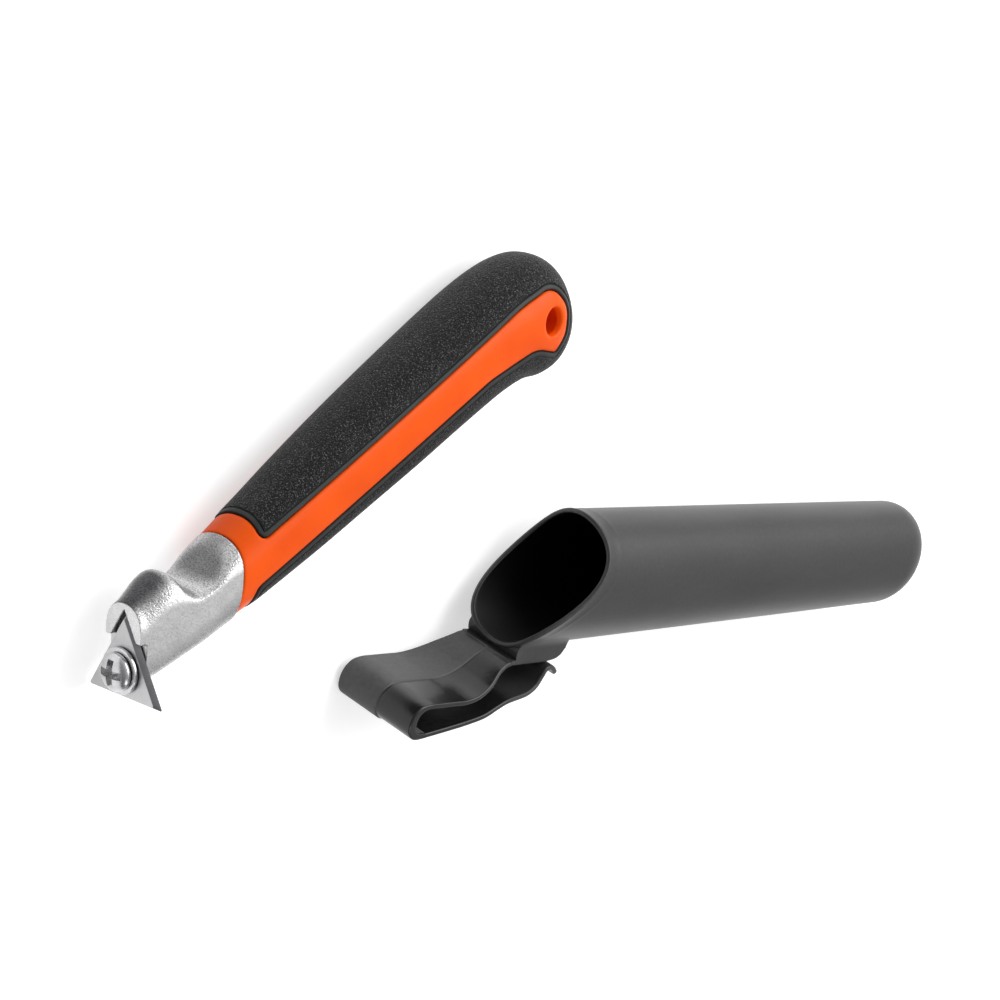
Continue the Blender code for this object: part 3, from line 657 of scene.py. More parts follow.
def blastedCasting():
    # shot-blasted zinc die casting: mid grey with a peened, sparkling skin, and painted shade darkening the
    # hump and the scoop's back
    material, tree, shader, spot = newMaterial("blastedCasting", Metallic=1, Roughness=0.36)
    skin = addNode(tree, "ShaderNodeAttribute", attribute_name="paintedShadeMask").outputs["Fac"]
    peened = addNode(tree, "ShaderNodeAttribute", attribute_name="peened").outputs["Fac"]
    # real shot marks are about 0.3 mm, drawn coarser so that they show
    peen = addNode(tree, "ShaderNodeTexNoise", {"Scale": 1 / (0.6 * mm), "Detail": 3}, {"Vector": spot})
    fine = addNode(tree, "ShaderNodeTexNoise", {"Scale": 1 / (0.34 * mm), "Detail": 1}, {"Vector": spot})
    cloud = addNode(tree, "ShaderNodeTexNoise", {"Scale": 1 / (6 * mm), "Detail": 4}, {"Vector": spot})
    unshadedCast = addNode(tree, "ShaderNodeValToRGB", links={0: cloud},
                     stops=((0.3, "#D8D8D9"), (0.7, "#CBCBCC")))
    # these dark greys are painted shade on the hump and the scoop's back
    paintedShade = addNode(tree, "ShaderNodeValToRGB", links={0: cloud},
                   stops=((0.3, "#565658"), (0.7, "#444446")))
    shade = addNode(tree, "ShaderNodeMix", links={0: skin, 6: unshadedCast, 7: paintedShade}, data_type="RGBA").outputs[2]
    amount = addNode(tree, "ShaderNodeMapRange", {3: 0.3, 4: 1.0}, {0: peened})
    spark = addNode(tree, "ShaderNodeValToRGB", links={0: fine},
                    stops=((0.36, 0.5), (0.52, 0.86), (0.66, 1.0)))
    both = addNode(tree, "ShaderNodeMath", links={0: fine, 1: amount, 2: peen}, operation="MULTIPLY_ADD")
    marks = addNode(tree, "ShaderNodeMath", links={0: both, 1: amount}, operation="MULTIPLY")
    wire(shader, {
        "Base Color": addNode(tree, "ShaderNodeMix", links={0: amount, 6: shade, 7: spark},
                              data_type="RGBA", blend_type="MULTIPLY").outputs[2],
        "Roughness": addNode(tree, "ShaderNodeValToRGB", links={0: peen}, stops=((0.3, 0.24), (0.7, 0.44))),
        "Normal": addNode(tree, "ShaderNodeBump", {"Distance": 0.13 * mm}, {"Height": marks}),
    })
    return material


standFor(makeHead(), "head_casting", "handle", "cast_head", blastedCasting())
print("head done")

# Triangular blade, washer and screw are drawn in the blade's frame: x runs into the tool.

blade = {
    "side": 25.0,
    "thickness": 1.5,
    "relief": 0.88,
    "corner": 0.4,
    "hole": 2.8,
    "chamfer": 0.12,
    "edgeBreak": 0.05,
    "cornerSteps": 6,
    "edgeSteps": 16,
}


def bladeRing(x, inset):
    # one outline of the triangle, its long edges in many steps so that the hole's rings fit it
    reach = 2 * (blade["side"] / (2 * np.sqrt(3)) - inset)
    corners = [(reach * np.cos(t), reach * np.sin(t), blade["corner"]) for t in (0, 2 * pi / 3, 4 * pi / 3)]
    outline = roundedOutline(corners, blade["cornerSteps"])
    ring = []
    for index, point in enumerate(outline):
        after = outline[(index + 1) % len(outline)]
        steps = blade["edgeSteps"] if np.linalg.norm(after - point) > blade["side"] / 5 else 1
        ring += [point + (after - point) * step / steps for step in range(steps)]
    ring = np.array(ring)
    return np.concatenate([np.full((len(ring), 1), x), ring], axis=1)


def makeBlade():
    front, thin = -blade["thickness"], blade["edgeBreak"]
    rings = [
        bladeRing(front, blade["relief"] + thin),
        bladeRing(front + thin, blade["relief"] - 0.01),
        bladeRing(-thin, thin),
        bladeRing(0, thin * 2.5),
    ]
    angle = np.arctan2(rings[0][:, 2], rings[0][:, 1])
    chamfer, small = blade["chamfer"], blade["hole"]
    wide = small + chamfer
    for x, radius in ((0, wide), (-chamfer, small), (front + chamfer, small), (front, wide)):
        rings.append(np.stack([np.full(len(angle), x), radius * np.cos(angle), radius * np.sin(angle)], 1))
    piece = makePiece("triangularBlade", *loft(rings, closed=True), bladePlace, 20)
    for polygon in piece.data.polygons:  # the second row of faces is the ground edge
        polygon.material_index = 1 if polygon.index // len(angle) == 1 else 0
    return piece


def groundCarbide(name, light, dark, roughness, stretch, depth):
    # sintered tungsten carbide off the surface grinder: cool grey, with fine parallel wheel marks
    material, tree, shader, spot = newMaterial(name, Metallic=1, Roughness=roughness)
    along = addNode(tree, "ShaderNodeMapping", {"Rotation": (0, 0, radians(10)), "Scale": (1, stretch, 7)},
                    {"Vector": spot})
    # real wheel marks are finer, drawn coarser so that they show
    marks = addNode(tree, "ShaderNodeTexNoise", {"Scale": 1 / (0.9 * mm), "Detail": 4}, {"Vector": along})
    cloud = addNode(tree, "ShaderNodeTexNoise", {"Scale": 1 / (5 * mm), "Detail": 3}, {"Vector": spot})
    both = addNode(tree, "ShaderNodeMath", links={0: marks, 1: cloud}, operation="ADD")
    half = addNode(tree, "ShaderNodeMath", {1: 0.5}, {0: both}, operation="MULTIPLY")
    wire(shader, {
        "Base Color": addNode(tree, "ShaderNodeValToRGB", links={0: half},
                              stops=((0.35, light), (0.65, dark))),
        "Normal": addNode(tree, "ShaderNodeBump", {"Distance": depth * mm}, {"Height": marks}),
    })
    return material


# the ground edge's greys are painted darker than the face's, as shade
standFor(makeBlade(), "carbide_blade", "blade_set", "carbide",
         groundCarbide("groundCarbide", "#BCBCBD", "#AEAEB0", 0.36, 0.7, 0.006),
         groundCarbide("groundEdgePaintedDark", "#8E8E91", "#76767A", 0.3, 6, 0.008))

washer = {
    "radius": 5.7,
    "hole": 2.7,
    "thickness": 1.0,
    "edge": 0.28,
    "back": -1.8,
    "steps": 5,
    "columns": 120,
}


def makeWasher():
    # a turned profile with four rounded corners
    back, edge, steps = washer["back"], washer["edge"], washer["steps"]
    front, rim, hole = back - washer["thickness"], washer["radius"], washer["hole"]
    profile = []
    for quarter, (x, r) in enumerate(((front, rim), (back, rim), (back, hole), (front, hole))):
        centreX = x + (edge if x == front else -edge)
        centreR = r + (-edge if r == rim else edge)
        for step in range(steps + 1):
            turn = (quarter + step / steps - 1) * pi / 2
            profile.append((centreX + edge * np.sin(turn), centreR + edge * np.cos(turn)))
    return makePiece("plainWasher", *turned(profile, washer["columns"], closed=True), bladePlace)


def platedSteel(name, light, dark, low, high, depth):
    # zinc-plated steel: bright, with faint handling scratches and a cloudy passivated film
    material, tree, shader, spot = newMaterial(name, Metallic=1, Roughness=low)
    film = addNode(tree, "ShaderNodeTexNoise", {"Scale": 1 / (2.2 * mm), "Detail": 4}, {"Vector": spot})
    along = addNode(tree, "ShaderNodeMapping", {"Rotation": (0, 0, radians(30)), "Scale": (1, 5, 1)},
                    {"Vector": spot})
    scuffs = addNode(tree, "ShaderNodeTexNoise", {"Scale": 1 / (0.8 * mm), "Detail": 5}, {"Vector": along})
    wire(shader, {
        "Base Color": addNode(tree, "ShaderNodeValToRGB", links={0: film},
                              stops=((0.3, light), (0.7, dark))),
        "Roughness": addNode(tree, "ShaderNodeValToRGB", links={0: scuffs},
                             stops=((0.3, low), (0.7, high))),
        "Normal": addNode(tree, "ShaderNodeBump", {"Distance": depth * mm}, {"Height": scuffs}),
    })
    return material


standFor(makeWasher(), "blade_washer", "blade_set", "washer",
         platedSteel("platedWasher", "#CFCFD0", "#BDBDBF", 0.16, 0.32, 0.006))

screw = {
    "back": -3.1,
    "headRadius": 4.7,
    "headHeight": 2.7,
    "edgeHeight": 0.6,
    # rounding of the head's lower edge: off the seat, in from the rim
    "headRound": ((0.12, 0), (0.03, 0.04), (0, 0.12)),
    "length": 10.5,
    "neckRadius": 2.2,
    "coreRadius": 2.02,
    # rounding of the neck: off the seat, out from the core
    "neckRound": ((0.2, 0.05), (0.4, 0)),
    "tipLength": 0.8,
    "tipShare": 0.66,
    "pole": 0.02,
    "threadRadius": 2.4,
    "ridge": 0.36,
    "pitch": 0.8,
    "threadLength": 8.0,
    "threadFrom": 1.3,
    "threadTurnSteps": 40,
    "crossLength": 4.1,
    "crossWidth": 1.0,
    # the recess: how far from the crown, and its size as a share
    "crossRings": ((-0.8, 1.3), (0.5, 0.86), (2.3, 0.3)),
    "domeSteps": 24,
    "columns": 96,
}


def threadRidge():
    # geometry nodes: a triangular ridge swept along a spiral, from named sizes
    tree = bpy.data.node_groups.new("threadRidge", "GeometryNodeTree")
    inputs = {}
    for name in ("Radius", "Pitch", "Turns", "Ridge", "Material"):
        kind = "NodeSocketMaterial" if name == "Material" else "NodeSocketFloat"
        inputs[name] = tree.interface.new_socket(name=name, in_out="INPUT", socket_type=kind).identifier
    tree.interface.new_socket(name="Geometry", in_out="OUTPUT", socket_type="NodeSocketGeometry")
    given = addNode(tree, "NodeGroupInput").outputs
    height = addNode(tree, "ShaderNodeMath", links={0: given["Pitch"], 1: given["Turns"]},
                     operation="MULTIPLY")
    spiral = addNode(tree, "GeometryNodeCurveSpiral", {"Resolution": screw["threadTurnSteps"]}, {
        "Rotations": given["Turns"], "Start Radius": given["Radius"], "End Radius": given["Radius"],
        "Height": height})
    ridge = addNode(tree, "GeometryNodeCurvePrimitiveCircle", {"Resolution": 6}, {"Radius": given["Ridge"]})
    swept = addNode(tree, "GeometryNodeCurveToMesh", {"Fill Caps": True},
                    {"Curve": spiral.outputs["Curve"], "Profile Curve": ridge.outputs["Curve"]})
    real = addNode(tree, "GeometryNodeRealizeInstances", links={"Geometry": swept.outputs["Mesh"]})
    coated = addNode(tree, "GeometryNodeSetMaterial", links={
        "Geometry": real.outputs["Geometry"], "Material": given["Material"]})
    addNode(tree, "NodeGroupOutput", links={"Geometry": coated})
    return tree, inputs


def makeThread(plating):
    tree, inputs = threadRidge()
    holder = addObject("thread", bpy.data.meshes.new("thread"))
    step = holder.modifiers.new("thread", "NODES")
    step.node_group = tree
    ridge, pitch = screw["ridge"], screw["pitch"]
    values = {"Radius": screw["threadRadius"] - ridge, "Ridge": ridge, "Pitch": pitch,
              "Turns": screw["threadLength"] / pitch, "Material": plating}
    for name, value in values.items():
        step[inputs[name]] = value
    applyModifiers(holder)
    points = [tuple(v.co) for v in holder.data.vertices]
    faces = [tuple(p.vertices) for p in holder.data.polygons]
    bpy.data.objects.remove(holder)
    start = screw["back"] + screw["threadFrom"]
    return makePiece("thread", [(start + z, x, y) for x, y, z in points], faces, bladePlace)


def makeScrew(plating):
    back = screw["back"]
    radius, rise = screw["headRadius"], screw["headHeight"] - screw["edgeHeight"]
    crown, pole = back - screw["headHeight"], screw["pole"]
    profile = [(crown, pole)]
    for turn in np.linspace(0, pi / 2, screw["domeSteps"] + 1)[1:]:
        profile.append((back - screw["edgeHeight"] - rise * np.cos(turn), radius * np.sin(turn)))
    profile += [(back - off, radius - inwards) for off, inwards in screw["headRound"]]
    profile.append((back, screw["neckRadius"]))
    tip, core = back + screw["length"], screw["coreRadius"]
    profile += [(back + off, core + outwards) for off, outwards in screw["neckRound"]]
    profile += [(tip - screw["tipLength"], core), (tip, core * screw["tipShare"]), (tip, pole)]
    piece = makePiece("panScrew", *turned(profile, screw["columns"]), bladePlace)
    rings = []
    for depth, share in screw["crossRings"]:
        long, wide = screw["crossLength"] * share, screw["crossWidth"] * (0.7 + 0.3 * share)
        wide = min(wide, long * 0.8)
        corners = []
        quarter = [(long, wide), (wide, wide), (wide, long)]
        for turn in range(4):
            corners += quarter
            quarter = [(-side, up) for up, side in quarter]
        rings.append(np.array([(crown + depth, *corner) for corner in corners]))
    cutAway(piece, *loft(rings), bladePlace)
    addShell(piece, makeThread(plating))
    shadeMesh(piece.data, 32)
    return piece


screwPlating = platedSteel("brightScrew", "#C8C8C9", "#B2B2B4", 0.17, 0.32, 0.012)
standFor(makeScrew(screwPlating), "blade_screw", "clamp_screw", "screw", screwPlating)
print("blade, washer and screw done")

# The holster: x runs from the mouth to the closed end, y up, z across.

holster = {
    "halfHeight": 18.2,
    "halfWidth": 14.7,
    "length": 158.0,
    "taper": 0.143,
    "dome": 15.6,
    "domeRound": 2.15,
    "wall": 1.2,
    "rim": 0.55,
    # a swelling along the mouth and a faint ring behind it: height, distance from the mouth, spread
    "bead": (0.22, 0, 1.8),
    "secondRing": (0.06, 5.6, 0.7),
    "mouth": (-2.3, 9.7, 3.4, 8.6, -3.0),
    "mouthGap": 0.7,
    "lip": -19.3,
    "above": 21,
    "far": -70,
    # the stretch near the mouth, as a share of length, then its rows and the rows beyond
    "tubeRows": (0.06, 16, 44),
    "columns": 144,
    "domeSteps": 20,
    "rimSteps": 9,
    # the bore cut from the leaf's neck, and half the depth of the cut along the mouth
    "boreRows": (-60, 0, 60, 120),
    "boreColumns": 96,
    "cutHalf": 30,
    "clipWidth": 25.8,
    "reach": 51.0,
    "drop": 37.0,
    "leaf": 1.5,
    "fold": 2.7,
    "neck": 7.8,
    "step": 0.4,
    "neckInto": 1.7,
    "fillet": 2.6,
    "stepAt": 0.08,
    "edgeRadius": 0.55,
    "edgeSteps": 5,
    "rowsBetween": 8,
    # the tube's finish, between the clip's matt far half (0) and its polished near half (1)
    "tubePolish": 0.4,
    # where these finishes fade into each other: up and along from clip to tube, and across the clip
    "clipUp": (-21.5, -19.6),
    "clipAlong": (-13, -9),
    "clipAcross": (0.8, 1.2),
    # shares of the tube's half height and half width between which its inside begins, painted near-black as
    # shade
    "shadedInsideFrom": (0.925, 0.965),
}
# shares of clip reach and drop, then of fold thickness, neck thickness, clip width, step height
leafTable = (
    (-0.845, -0.985, 0.0, 0.00, 1.00, 0.0),
    (-0.852, -0.985, 0.1, 0.00, 1.00, 0.1),
    (-0.915, -0.980, 0.6, 0.00, 1.00, 0.8),
    (-0.959, -0.930, 1.0, 0.00, 1.00, 1.0),
    (-0.968, -0.846, 0.9, 0.00, 1.00, 1.0),
    (-0.943, -0.784, 0.5, 0.00, 1.00, 1.0),
    (-0.888, -0.757, 0.0, 0.00, 1.00, 1.0),
    (-0.800, -0.756, 0.0, 0.00, 1.00, 1.0),
    (-0.680, -0.756, 0.0, 0.00, 1.00, 1.0),
    (-0.600, -0.756, 0.0, 0.00, 1.00, 1.0),
    (-0.510, -0.734, 0.0, 0.00, 0.98, 1.0),
    (-0.430, -0.690, 0.0, 0.00, 0.92, 1.0),
    (-0.385, -0.652, 0.0, 0.00, 0.86, 1.0),
    (-0.330, -0.600, 0.0, 0.00, 0.76, 1.0),
    (-0.280, -0.563, 0.0, 0.00, 0.71, 0.9),
    (-0.245, -0.546, 0.0, 0.03, 0.70, 0.5),
    (-0.228, -0.514, 0.0, 0.40, 0.69, 0.2),
    (-0.208, -0.484, 0.0, 0.75, 0.68, 0.1),
    (-0.140, -0.462, 0.0, 1.00, 0.67, 0.1),
    (0.020, -0.457, 0.0, 1.00, 0.68, 0.1),
    (0.110, -0.450, 0.0, 0.93, 0.68, 0.1),
    (0.150, -0.436, 0.0, 0.76, 0.68, 0.1),
    (0.170, -0.410, 0.0, 0.46, 0.68, 0.1),
)
tongueTable = (
    (-0.845, -0.985, 0.0, 0.00, 1.00, 0.0),
    (-0.660, -0.950, 0.0, 0.00, 1.00, 0.0),
    (-0.530, -0.922, 0.0, 0.00, 1.00, 0.0),
    (-0.402, -0.890, 0.0, 0.00, 0.98, 0.0),
    (-0.300, -0.840, 0.0, 0.00, 0.94, 0.0),
    (-0.215, -0.808, 0.0, 0.00, 0.90, 0.0),
    (-0.070, -0.780, 0.0, 0.00, 0.85, 0.0),
    (0.005, -0.738, 0.0, 0.00, 0.80, 0.0),
    (0.042, -0.676, 0.0, 0.00, 0.76, 0.0),
    (0.065, -0.620, 0.0, 0.00, 0.74, 0.0),
    (0.102, -0.608, 0.0, 0.00, 0.72, 0.0),
    (0.140, -0.628, 0.0, 0.00, 0.70, 0.0),
    (0.168, -0.655, 0.0, 0.00, 0.68, 0.0),
)


def mouthAt(up):
    start, slant, scoop, sweep, curl = holster["mouth"]
    share = np.clip(up / holster["halfHeight"], -1.2, 1.2)
    return start + slant * share + (scoop + sweep * share + curl * share ** 2) * (1 - share ** 2)


def tubeRing(along, inset, turns, squeeze=1.0):
    # an oval of the tapered tube, at one place or at a place for each turn
    shrink = (1 - holster["taper"] * along / holster["length"]) * squeeze
    high, wide = (holster["halfHeight"] - inset) * shrink, (holster["halfWidth"] - inset) * shrink
    return np.stack([along + 0 * turns, high * np.cos(turns), wide * np.sin(turns)], 1)


def makeTube():
    turns = np.linspace(0, 2 * pi, holster["columns"], endpoint=False)
    wall, rim, length = holster["wall"], holster["rim"], holster["length"]
    mouth = np.zeros(len(turns))
    for attempt in range(8):
        mouth = mouthAt(tubeRing(mouth, 0, turns)[:, 1])
    nearMouth, nearRows, farRows = holster["tubeRows"]
    shares = np.concatenate([np.linspace(0, nearMouth, nearRows)[:-1], np.linspace(nearMouth, 1, farRows)])

    def bead(along):
        first, second = (size * np.exp(-((along - mouth - place) / spread) ** 2)
                         for size, place, spread in (holster["bead"], holster["secondRing"]))
        return first + second

    def dome(inset):
        rings = []
        for turn in np.linspace(0, pi / 2, holster["domeSteps"] + 1)[1:-1]:
            fall, rise = (power(part, holster["domeRound"]) for part in (np.cos(turn), np.sin(turn)))
            ring = tubeRing(length, inset, turns, fall)
            ring[:, 0] = length + (holster["dome"] - inset) * rise
            rings.append(ring)
        return rings

    outer, inner = [], []
    for share in shares:
        along = mouth + rim + (length - mouth - rim) * share
        outer.append(tubeRing(along, -bead(along), turns))
        inner.append(tubeRing(along, wall, turns))
    edge = []
    for turn in np.linspace(0, pi, holster["rimSteps"] + 1)[1:-1]:
        along = mouth + rim * (1 - np.sin(turn))
        mix = (1 - np.cos(turn)) / 2
        edge.append(tubeRing(along, -bead(along), turns) * (1 - mix) + tubeRing(along, wall, turns) * mix)
    rings = dome(0)[::-1] + outer[::-1] + edge + inner + dome(wall)
    return loft(rings)


def stripSection(thick, wide, raised):
    # section (outwards, sideways) of the clip's strip, with round edges and a step in its outer face
    half = thick / 2
    radius = min(holster["edgeRadius"], half * 0.95)
    lift = holster["step"] * raised
    top = half + lift
    stepAt = wide * holster["stepAt"]
    quarter = np.linspace(0, pi / 2, holster["edgeSteps"] + 1)
    swing, fall = radius * np.sin(quarter), radius * (1 - np.cos(quarter))
    climb = radius * (1 - np.sin(quarter))
    section = [(-half, side) for side in np.linspace(wide - radius, -wide + radius, 7)]
    section += [(-half + fall[k], -wide + radius - swing[k]) for k in range(1, len(quarter))]
    section += [(rise, -wide) for rise in np.linspace(-half + radius, top - radius, 12)[1:-1]]
    section += [(top - climb[k], -wide + fall[k]) for k in range(len(quarter))]
    section += [(top, side) for side in (-wide * 0.6, stepAt - 2, stepAt - 0.7, stepAt - 0.45)]
    for share in np.linspace(0, 1, 6)[1:-1]:
        ease = share * share * (3 - 2 * share)
        section.append((half + lift * (1 - ease), stepAt - 0.3 + 0.35 * share))
    section += [(half, stepAt + side) for side in (0.2, 0.45, 2)]
    section += [(half, side) for side in (wide * 0.6, wide - radius)]
    section += [(half - fall[k], wide - radius + swing[k]) for k in range(1, len(quarter))]
    section += [(rise, wide) for rise in np.linspace(half - radius, -half + radius, 12)[1:-1]]
    section += [(-half + climb[k], wide - fall[k]) for k in range(len(quarter) - 1)]
    return np.array(section)


def blendNeck(section, centre, wide, share):
    # the neck reaches into the tube's wall, and its sides run out into the tube's skin in a fillet
    up = centre[1] + section[:, 0] + holster["neckInto"] * share * np.clip(section[:, 0] / 3, 0, 1)
    skin = tubeRing(centre[0], 0, np.arccos(np.clip(up / holster["halfHeight"], -1, 1)))[:, 2] - 0.1
    blend = holster["fillet"]
    filled = np.maximum(wide, skin) + np.clip(blend - np.abs(wide - skin), 0, None) ** 2 / (4 * blend)
    side = np.abs(section[:, 1])
    grown = np.where(side > wide * 0.75, side + (filled - wide) * share, side)
    return np.stack([up - centre[1], np.sign(section[:, 1]) * grown], 1)


def makeStrip(table, roundEnd):
    # the strip follows its table's curve, with its start rounded, and its end too where it is free
    rows = smoothRows(table, holster["rowsBetween"])
    centres = rows[:, :2] * (holster["reach"], holster["drop"])
    rings = []

    def ring(centre, ahead, thick, wide, raised, share=0):
        out = np.array((-ahead[1], ahead[0]))
        section = stripSection(thick, wide, raised)
        if share > 0:
            section = blendNeck(section, centre, wide, share)
        flat = centre + section[:, :1] * out
        rings.append(np.concatenate([flat, section[:, 1:]], axis=1))

    for index, row in enumerate(rows):
        path = centres[min(index + 1, len(rows) - 1)] - centres[max(index - 1, 0)]
        path = path / np.linalg.norm(path)
        fold, neck, width, raised = row[2:]
        turn = min(max(neck, 0) * 2, 1)
        ahead = path * (1 - turn) + np.array((1, 0)) * turn
        ahead = ahead / np.linalg.norm(ahead)
        thick = holster["leaf"] * (1 - fold - neck) + holster["fold"] * fold + holster["neck"] * neck
        wide = holster["clipWidth"] / 2 * width
        last = index == len(rows) - 1
        caps = []
        if index == 0:
            caps = [(-np.cos(t), np.sin(t)) for t in np.linspace(0.1, pi / 2, 6)[:-1]]
        elif last and roundEnd:
            caps = [(np.cos(t), np.sin(t)) for t in np.linspace(pi / 2, 0.1, 6)[1:]]
        if last:
            ring(centres[index], ahead, thick, wide, raised, max(neck, 0))
        for push, share in caps:
            narrow = wide - holster["edgeRadius"] * (1 - share)
            ring(centres[index] + ahead * thick / 2 * push, ahead, thick * share, narrow, raised * share)
        if not last:
            ring(centres[index], ahead, thick, wide, raised, max(neck, 0))
    return loft(rings)


def markPolish(mesh):
    # polish tells the mould's finish; bore is 1 on the tube's inside, which is painted near-black as shade,
    # and 0 outside
    inverse = holsterPlace.inverted()
    along, up, across = np.array([inverse @ v.co for v in mesh.vertices]).T
    onClip = np.interp(up, holster["clipUp"], (1, 0)) * np.interp(along, holster["clipAlong"], (1, 0.2))
    near = np.interp(across, holster["clipAcross"], (0, 1))
    markPoints(mesh, "polish", holster["tubePolish"] + onClip * (near - holster["tubePolish"]))
    shrink = 1 - holster["taper"] * along / holster["length"]
    reach = np.hypot(up / holster["halfHeight"], across / holster["halfWidth"]) / shrink
    markPoints(mesh, "bore", np.interp(reach, holster["shadedInsideFrom"], (1, 0)) * (along < holster["length"]))


def makeHolster():
    above, lip, far = holster["above"], holster["lip"], holster["far"]
    leaf = makePiece("leaf", *makeStrip(leafTable, False), holsterPlace)
    # the leaf's neck ends in the tube's wall, and keeps clear of its bore and mouth
    turns = np.linspace(0, 2 * pi, holster["boreColumns"], endpoint=False)
    bore = [tubeRing(along, holster["wall"] / 2, turns) for along in holster["boreRows"]]
    cutAway(leaf, *loft(bore), holsterPlace)
    outline = [(mouthAt(up) + holster["mouthGap"], up) for up in np.linspace(above, lip, 40)]
    outline += [(far, lip), (far, above)]
    half = holster["cutHalf"]
    cutAway(leaf, *loft([np.array([(x, y, z) for x, y in outline]) for z in (-half, half)]), holsterPlace)
    piece = makePiece("holsterBody", *makeTube(), holsterPlace)
    addShell(piece, leaf)
    shadeMesh(piece.data, 40)
    tongue = makePiece("clipTongue", *makeStrip(tongueTable, True), holsterPlace)
    for mesh in (piece.data, tongue.data):
        markPolish(mesh)
    return piece, tongue


def mouldedHolster():
    # carbon-black polypropylene: satin from a finely etched mould, glossier where the mould was polished
    material, tree, shader, spot = newMaterial(
        "mouldedPolypropylene", Roughness=0.42, IOR=1.49, Specular_IOR_Level=0.42)
    mask = addNode(tree, "ShaderNodeAttribute", attribute_name="polish").outputs["Fac"]
    inside = addNode(tree, "ShaderNodeAttribute", attribute_name="bore").outputs["Fac"]
    # real etching is about 0.1 mm, drawn coarser so that it shows
    etch = addNode(tree, "ShaderNodeTexNoise", {"Scale": 1 / (0.5 * mm), "Detail": 3}, {"Vector": spot})
    mottle = addNode(tree, "ShaderNodeTexNoise", {"Scale": 1 / (1.1 * mm), "Detail": 4}, {"Vector": spot})
    along = addNode(tree, "ShaderNodeMapping", {"Scale": (0.35, 1, 1)}, {"Vector": spot})
    flow = addNode(tree, "ShaderNodeTexNoise", {"Scale": 1 / (14 * mm), "Detail": 3}, {"Vector": along})
    shade = addNode(tree, "ShaderNodeValToRGB", links={0: mask},
                    stops=((0, "#525253"), (0.4, "#363637"), (1, "#1C1C1D")))
    cloud = addNode(tree, "ShaderNodeValToRGB", links={0: flow}, stops=((0.3, 1.0), (0.7, 0.8)))
    shade = addNode(tree, "ShaderNodeMix", {0: 1.0}, {6: shade, 7: cloud}, data_type="RGBA",
                    blend_type="MULTIPLY").outputs[2]
    # the tube's inside is painted near-black as shade
    shade = addNode(tree, "ShaderNodeMix", {7: linear("#050505")}, {0: inside, 6: shade},
                    data_type="RGBA").outputs[2]
    fleck = addNode(tree, "ShaderNodeValToRGB", links={0: mottle}, stops=((0.3, 0.8), (0.7, 1.0)))
    rough = addNode(tree, "ShaderNodeMapRange", {3: 0.56, 4: 0.21}, {0: mask})
    smudge = addNode(tree, "ShaderNodeMath", {1: 0.12, 2: -0.06}, {0: flow}, operation="MULTIPLY_ADD")
    wire(shader, {
        "Base Color": addNode(tree, "ShaderNodeMix", {0: 1.0}, {6: shade, 7: fleck}, data_type="RGBA",
                              blend_type="MULTIPLY").outputs[2],
        "Roughness": addNode(tree, "ShaderNodeMath", links={0: rough, 1: smudge}, operation="ADD"),
        "Normal": addNode(tree, "ShaderNodeBump", {"Distance": 0.03 * mm}, {"Height": etch}),
    })
    return material


holsterBody, clipTongue = makeHolster()
plastic = mouldedHolster()
standFor(holsterBody, "holster_sleeve", "holster", "holster_plastic", plastic)
standFor(clipTongue, "belt_clip_tongue", "clip_tongue", "holster_plastic", plastic)
print("holster done", len(holsterBody.data.polygons))

# The studio: a pale floor, soft light from the right and the top of the picture, and a weak lamp below.

studio = {
    "floorHalf": 3.0,
    "floorLight": "#DADADA",
    "floorDark": "#D6D6D6",
    "floorLift": 0.55,
    "worldStrength": 1.0,
    "skyTop": (0.55, 0.68, 0.48),
    "skyStops": ((0.1, 0.22), (0.5, 0.42), (0.85, 0.85)),
    "cameraAt": (-0.73594, 0.16003, 0.58445),
    "cameraRight": (0.64315, 0.17537, 0.7455),
    "cameraUp": (0.02305, 0.96871, -0.2477),
    "lens": 129.6,
    "sensor": 36,
    "aim": (0.0, 0.0, 0.012),
    # lamps: direction in the camera's right, up and back, distance, width and height in metres, watts
    "keyLamp": ((0.890106, 0.378673, 0.210519), 1.0, (0.9, 0.65), 6.8),
    "fillLamp": ((1.0, 0, 0.5), 1.1, (0.6, 0.6), 2.0),
    "lowLamp": ((0.3, -1.0, 0.35), 1.1, (0.9, 0.4), 2.4),
}


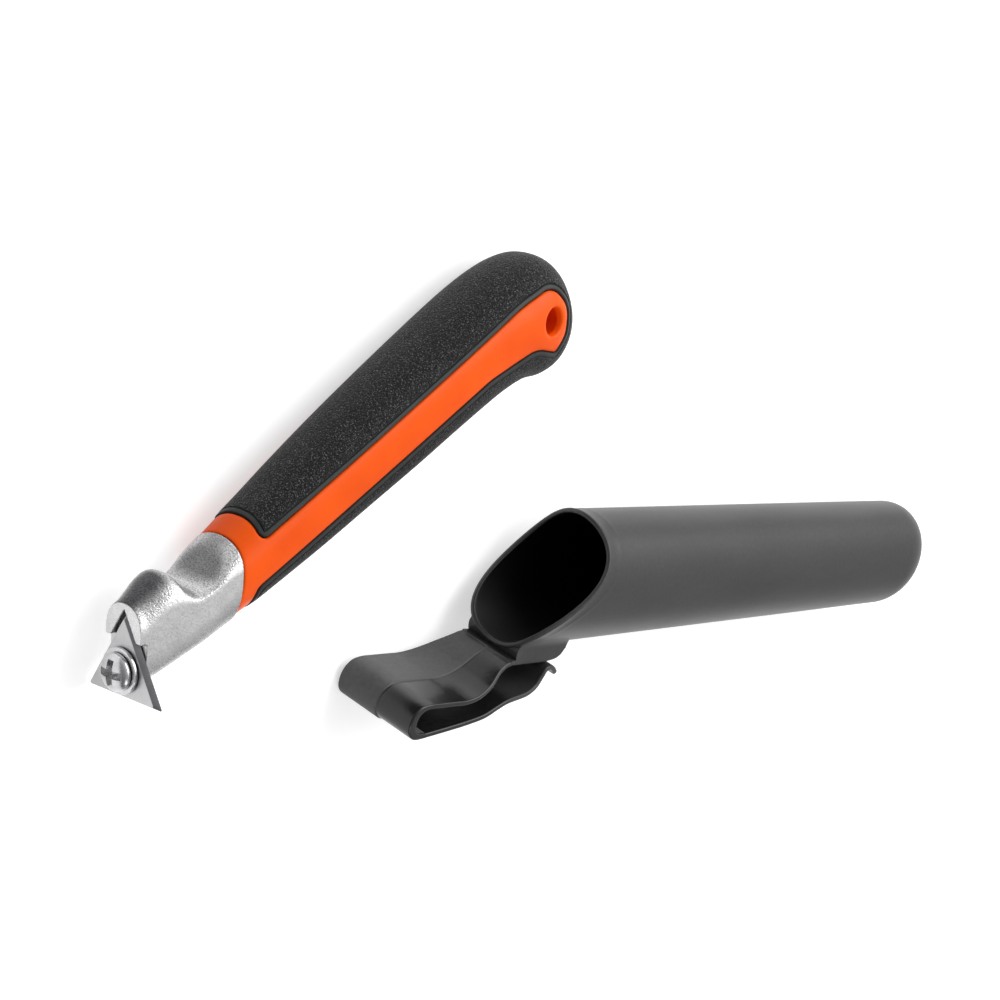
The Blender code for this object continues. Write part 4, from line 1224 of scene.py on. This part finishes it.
def makeFloor():
    half = studio["floorHalf"]
    mesh = bpy.data.meshes.new("studioFloor")
    corners = [(-half, -half, 0), (half, -half, 0), (half, half, 0), (-half, half, 0)]
    mesh.from_pydata(corners, [], [(0, 1, 2, 3)])
    floor = addObject("studioFloor", mesh)
    # matt background paper, lifted to white where a camera or a glossy surface sees it
    material, tree, shader, spot = newMaterial("paperFloor", Roughness=0.9)
    paper = addNode(tree, "ShaderNodeTexNoise", {"Scale": 1 / (25 * mm)}, {"Vector": spot})
    rays = addNode(tree, "ShaderNodeLightPath").outputs
    seen = rays["Is Camera Ray"]
    for kind in ("Is Glossy Ray", "Is Transmission Ray"):
        seen = addNode(tree, "ShaderNodeMath", links={0: seen, 1: rays[kind]}, operation="MAXIMUM")
    shader.inputs["Emission Color"].default_value = (1, 1, 1, 1)
    wire(shader, {
        "Base Color": addNode(tree, "ShaderNodeValToRGB", links={0: paper},
                              stops=((0.3, studio["floorLight"]), (0.7, studio["floorDark"]))),
        "Emission Strength": addNode(tree, "ShaderNodeMath", {1: studio["floorLift"]}, {0: seen},
                                     operation="MULTIPLY"),
    })
    mesh.materials.append(material)


def makeCamera():
    right = Vector(studio["cameraRight"]).normalized()
    up = Vector(studio["cameraUp"])
    back = right.cross(up).normalized()
    up = back.cross(right)
    camera = addObject("camera", bpy.data.cameras.new("camera"))
    axes = Matrix((right, up, back)).transposed()
    camera.matrix_world = Matrix.Translation(studio["cameraAt"]) @ axes.to_4x4()
    camera.data.lens = studio["lens"]
    camera.data.sensor_width = studio["sensor"]
    camera.data.clip_start = 0.01
    bpy.context.scene.camera = camera
    return axes


def makeLamp(name, axes):
    way, distance, size, strength = studio[name]
    direction = axes @ Vector(way)
    lamp = addObject(name, bpy.data.lights.new(name, "AREA"))
    lamp.data.shape = "RECTANGLE"
    lamp.data.size, lamp.data.size_y = size
    lamp.data.energy = strength
    lamp.location = Vector(studio["aim"]) + direction.normalized() * distance
    lamp.rotation_euler = (-direction).to_track_quat("-Z", "Y").to_euler()


def makeWorld():
    # a soft sky, brighter from the picture's top, so that metal has something to show
    world = bpy.data.worlds.new("studioWorld")
    world.use_nodes = True
    tree = world.node_tree
    way = addNode(tree, "ShaderNodeTexCoord").outputs["Generated"]
    facing = addNode(tree, "ShaderNodeVectorMath", {1: studio["skyTop"]}, {0: way}, operation="DOT_PRODUCT")
    share = addNode(tree, "ShaderNodeMath", {1: 0.5, 2: 0.5}, {0: facing.outputs["Value"]},
                    operation="MULTIPLY_ADD")
    sky = addNode(tree, "ShaderNodeValToRGB", links={0: share}, stops=studio["skyStops"])
    wire(tree.nodes["Background"], {"Color": sky})
    tree.nodes["Background"].inputs["Strength"].default_value = studio["worldStrength"]
    bpy.context.scene.world = world


makeFloor()
cameraAxes = makeCamera()
for lampName in ("keyLamp", "fillLamp", "lowLamp"):
    makeLamp(lampName, cameraAxes)
makeWorld()
bpy.context.scene.view_settings.view_transform = "Standard"
print("studio done")
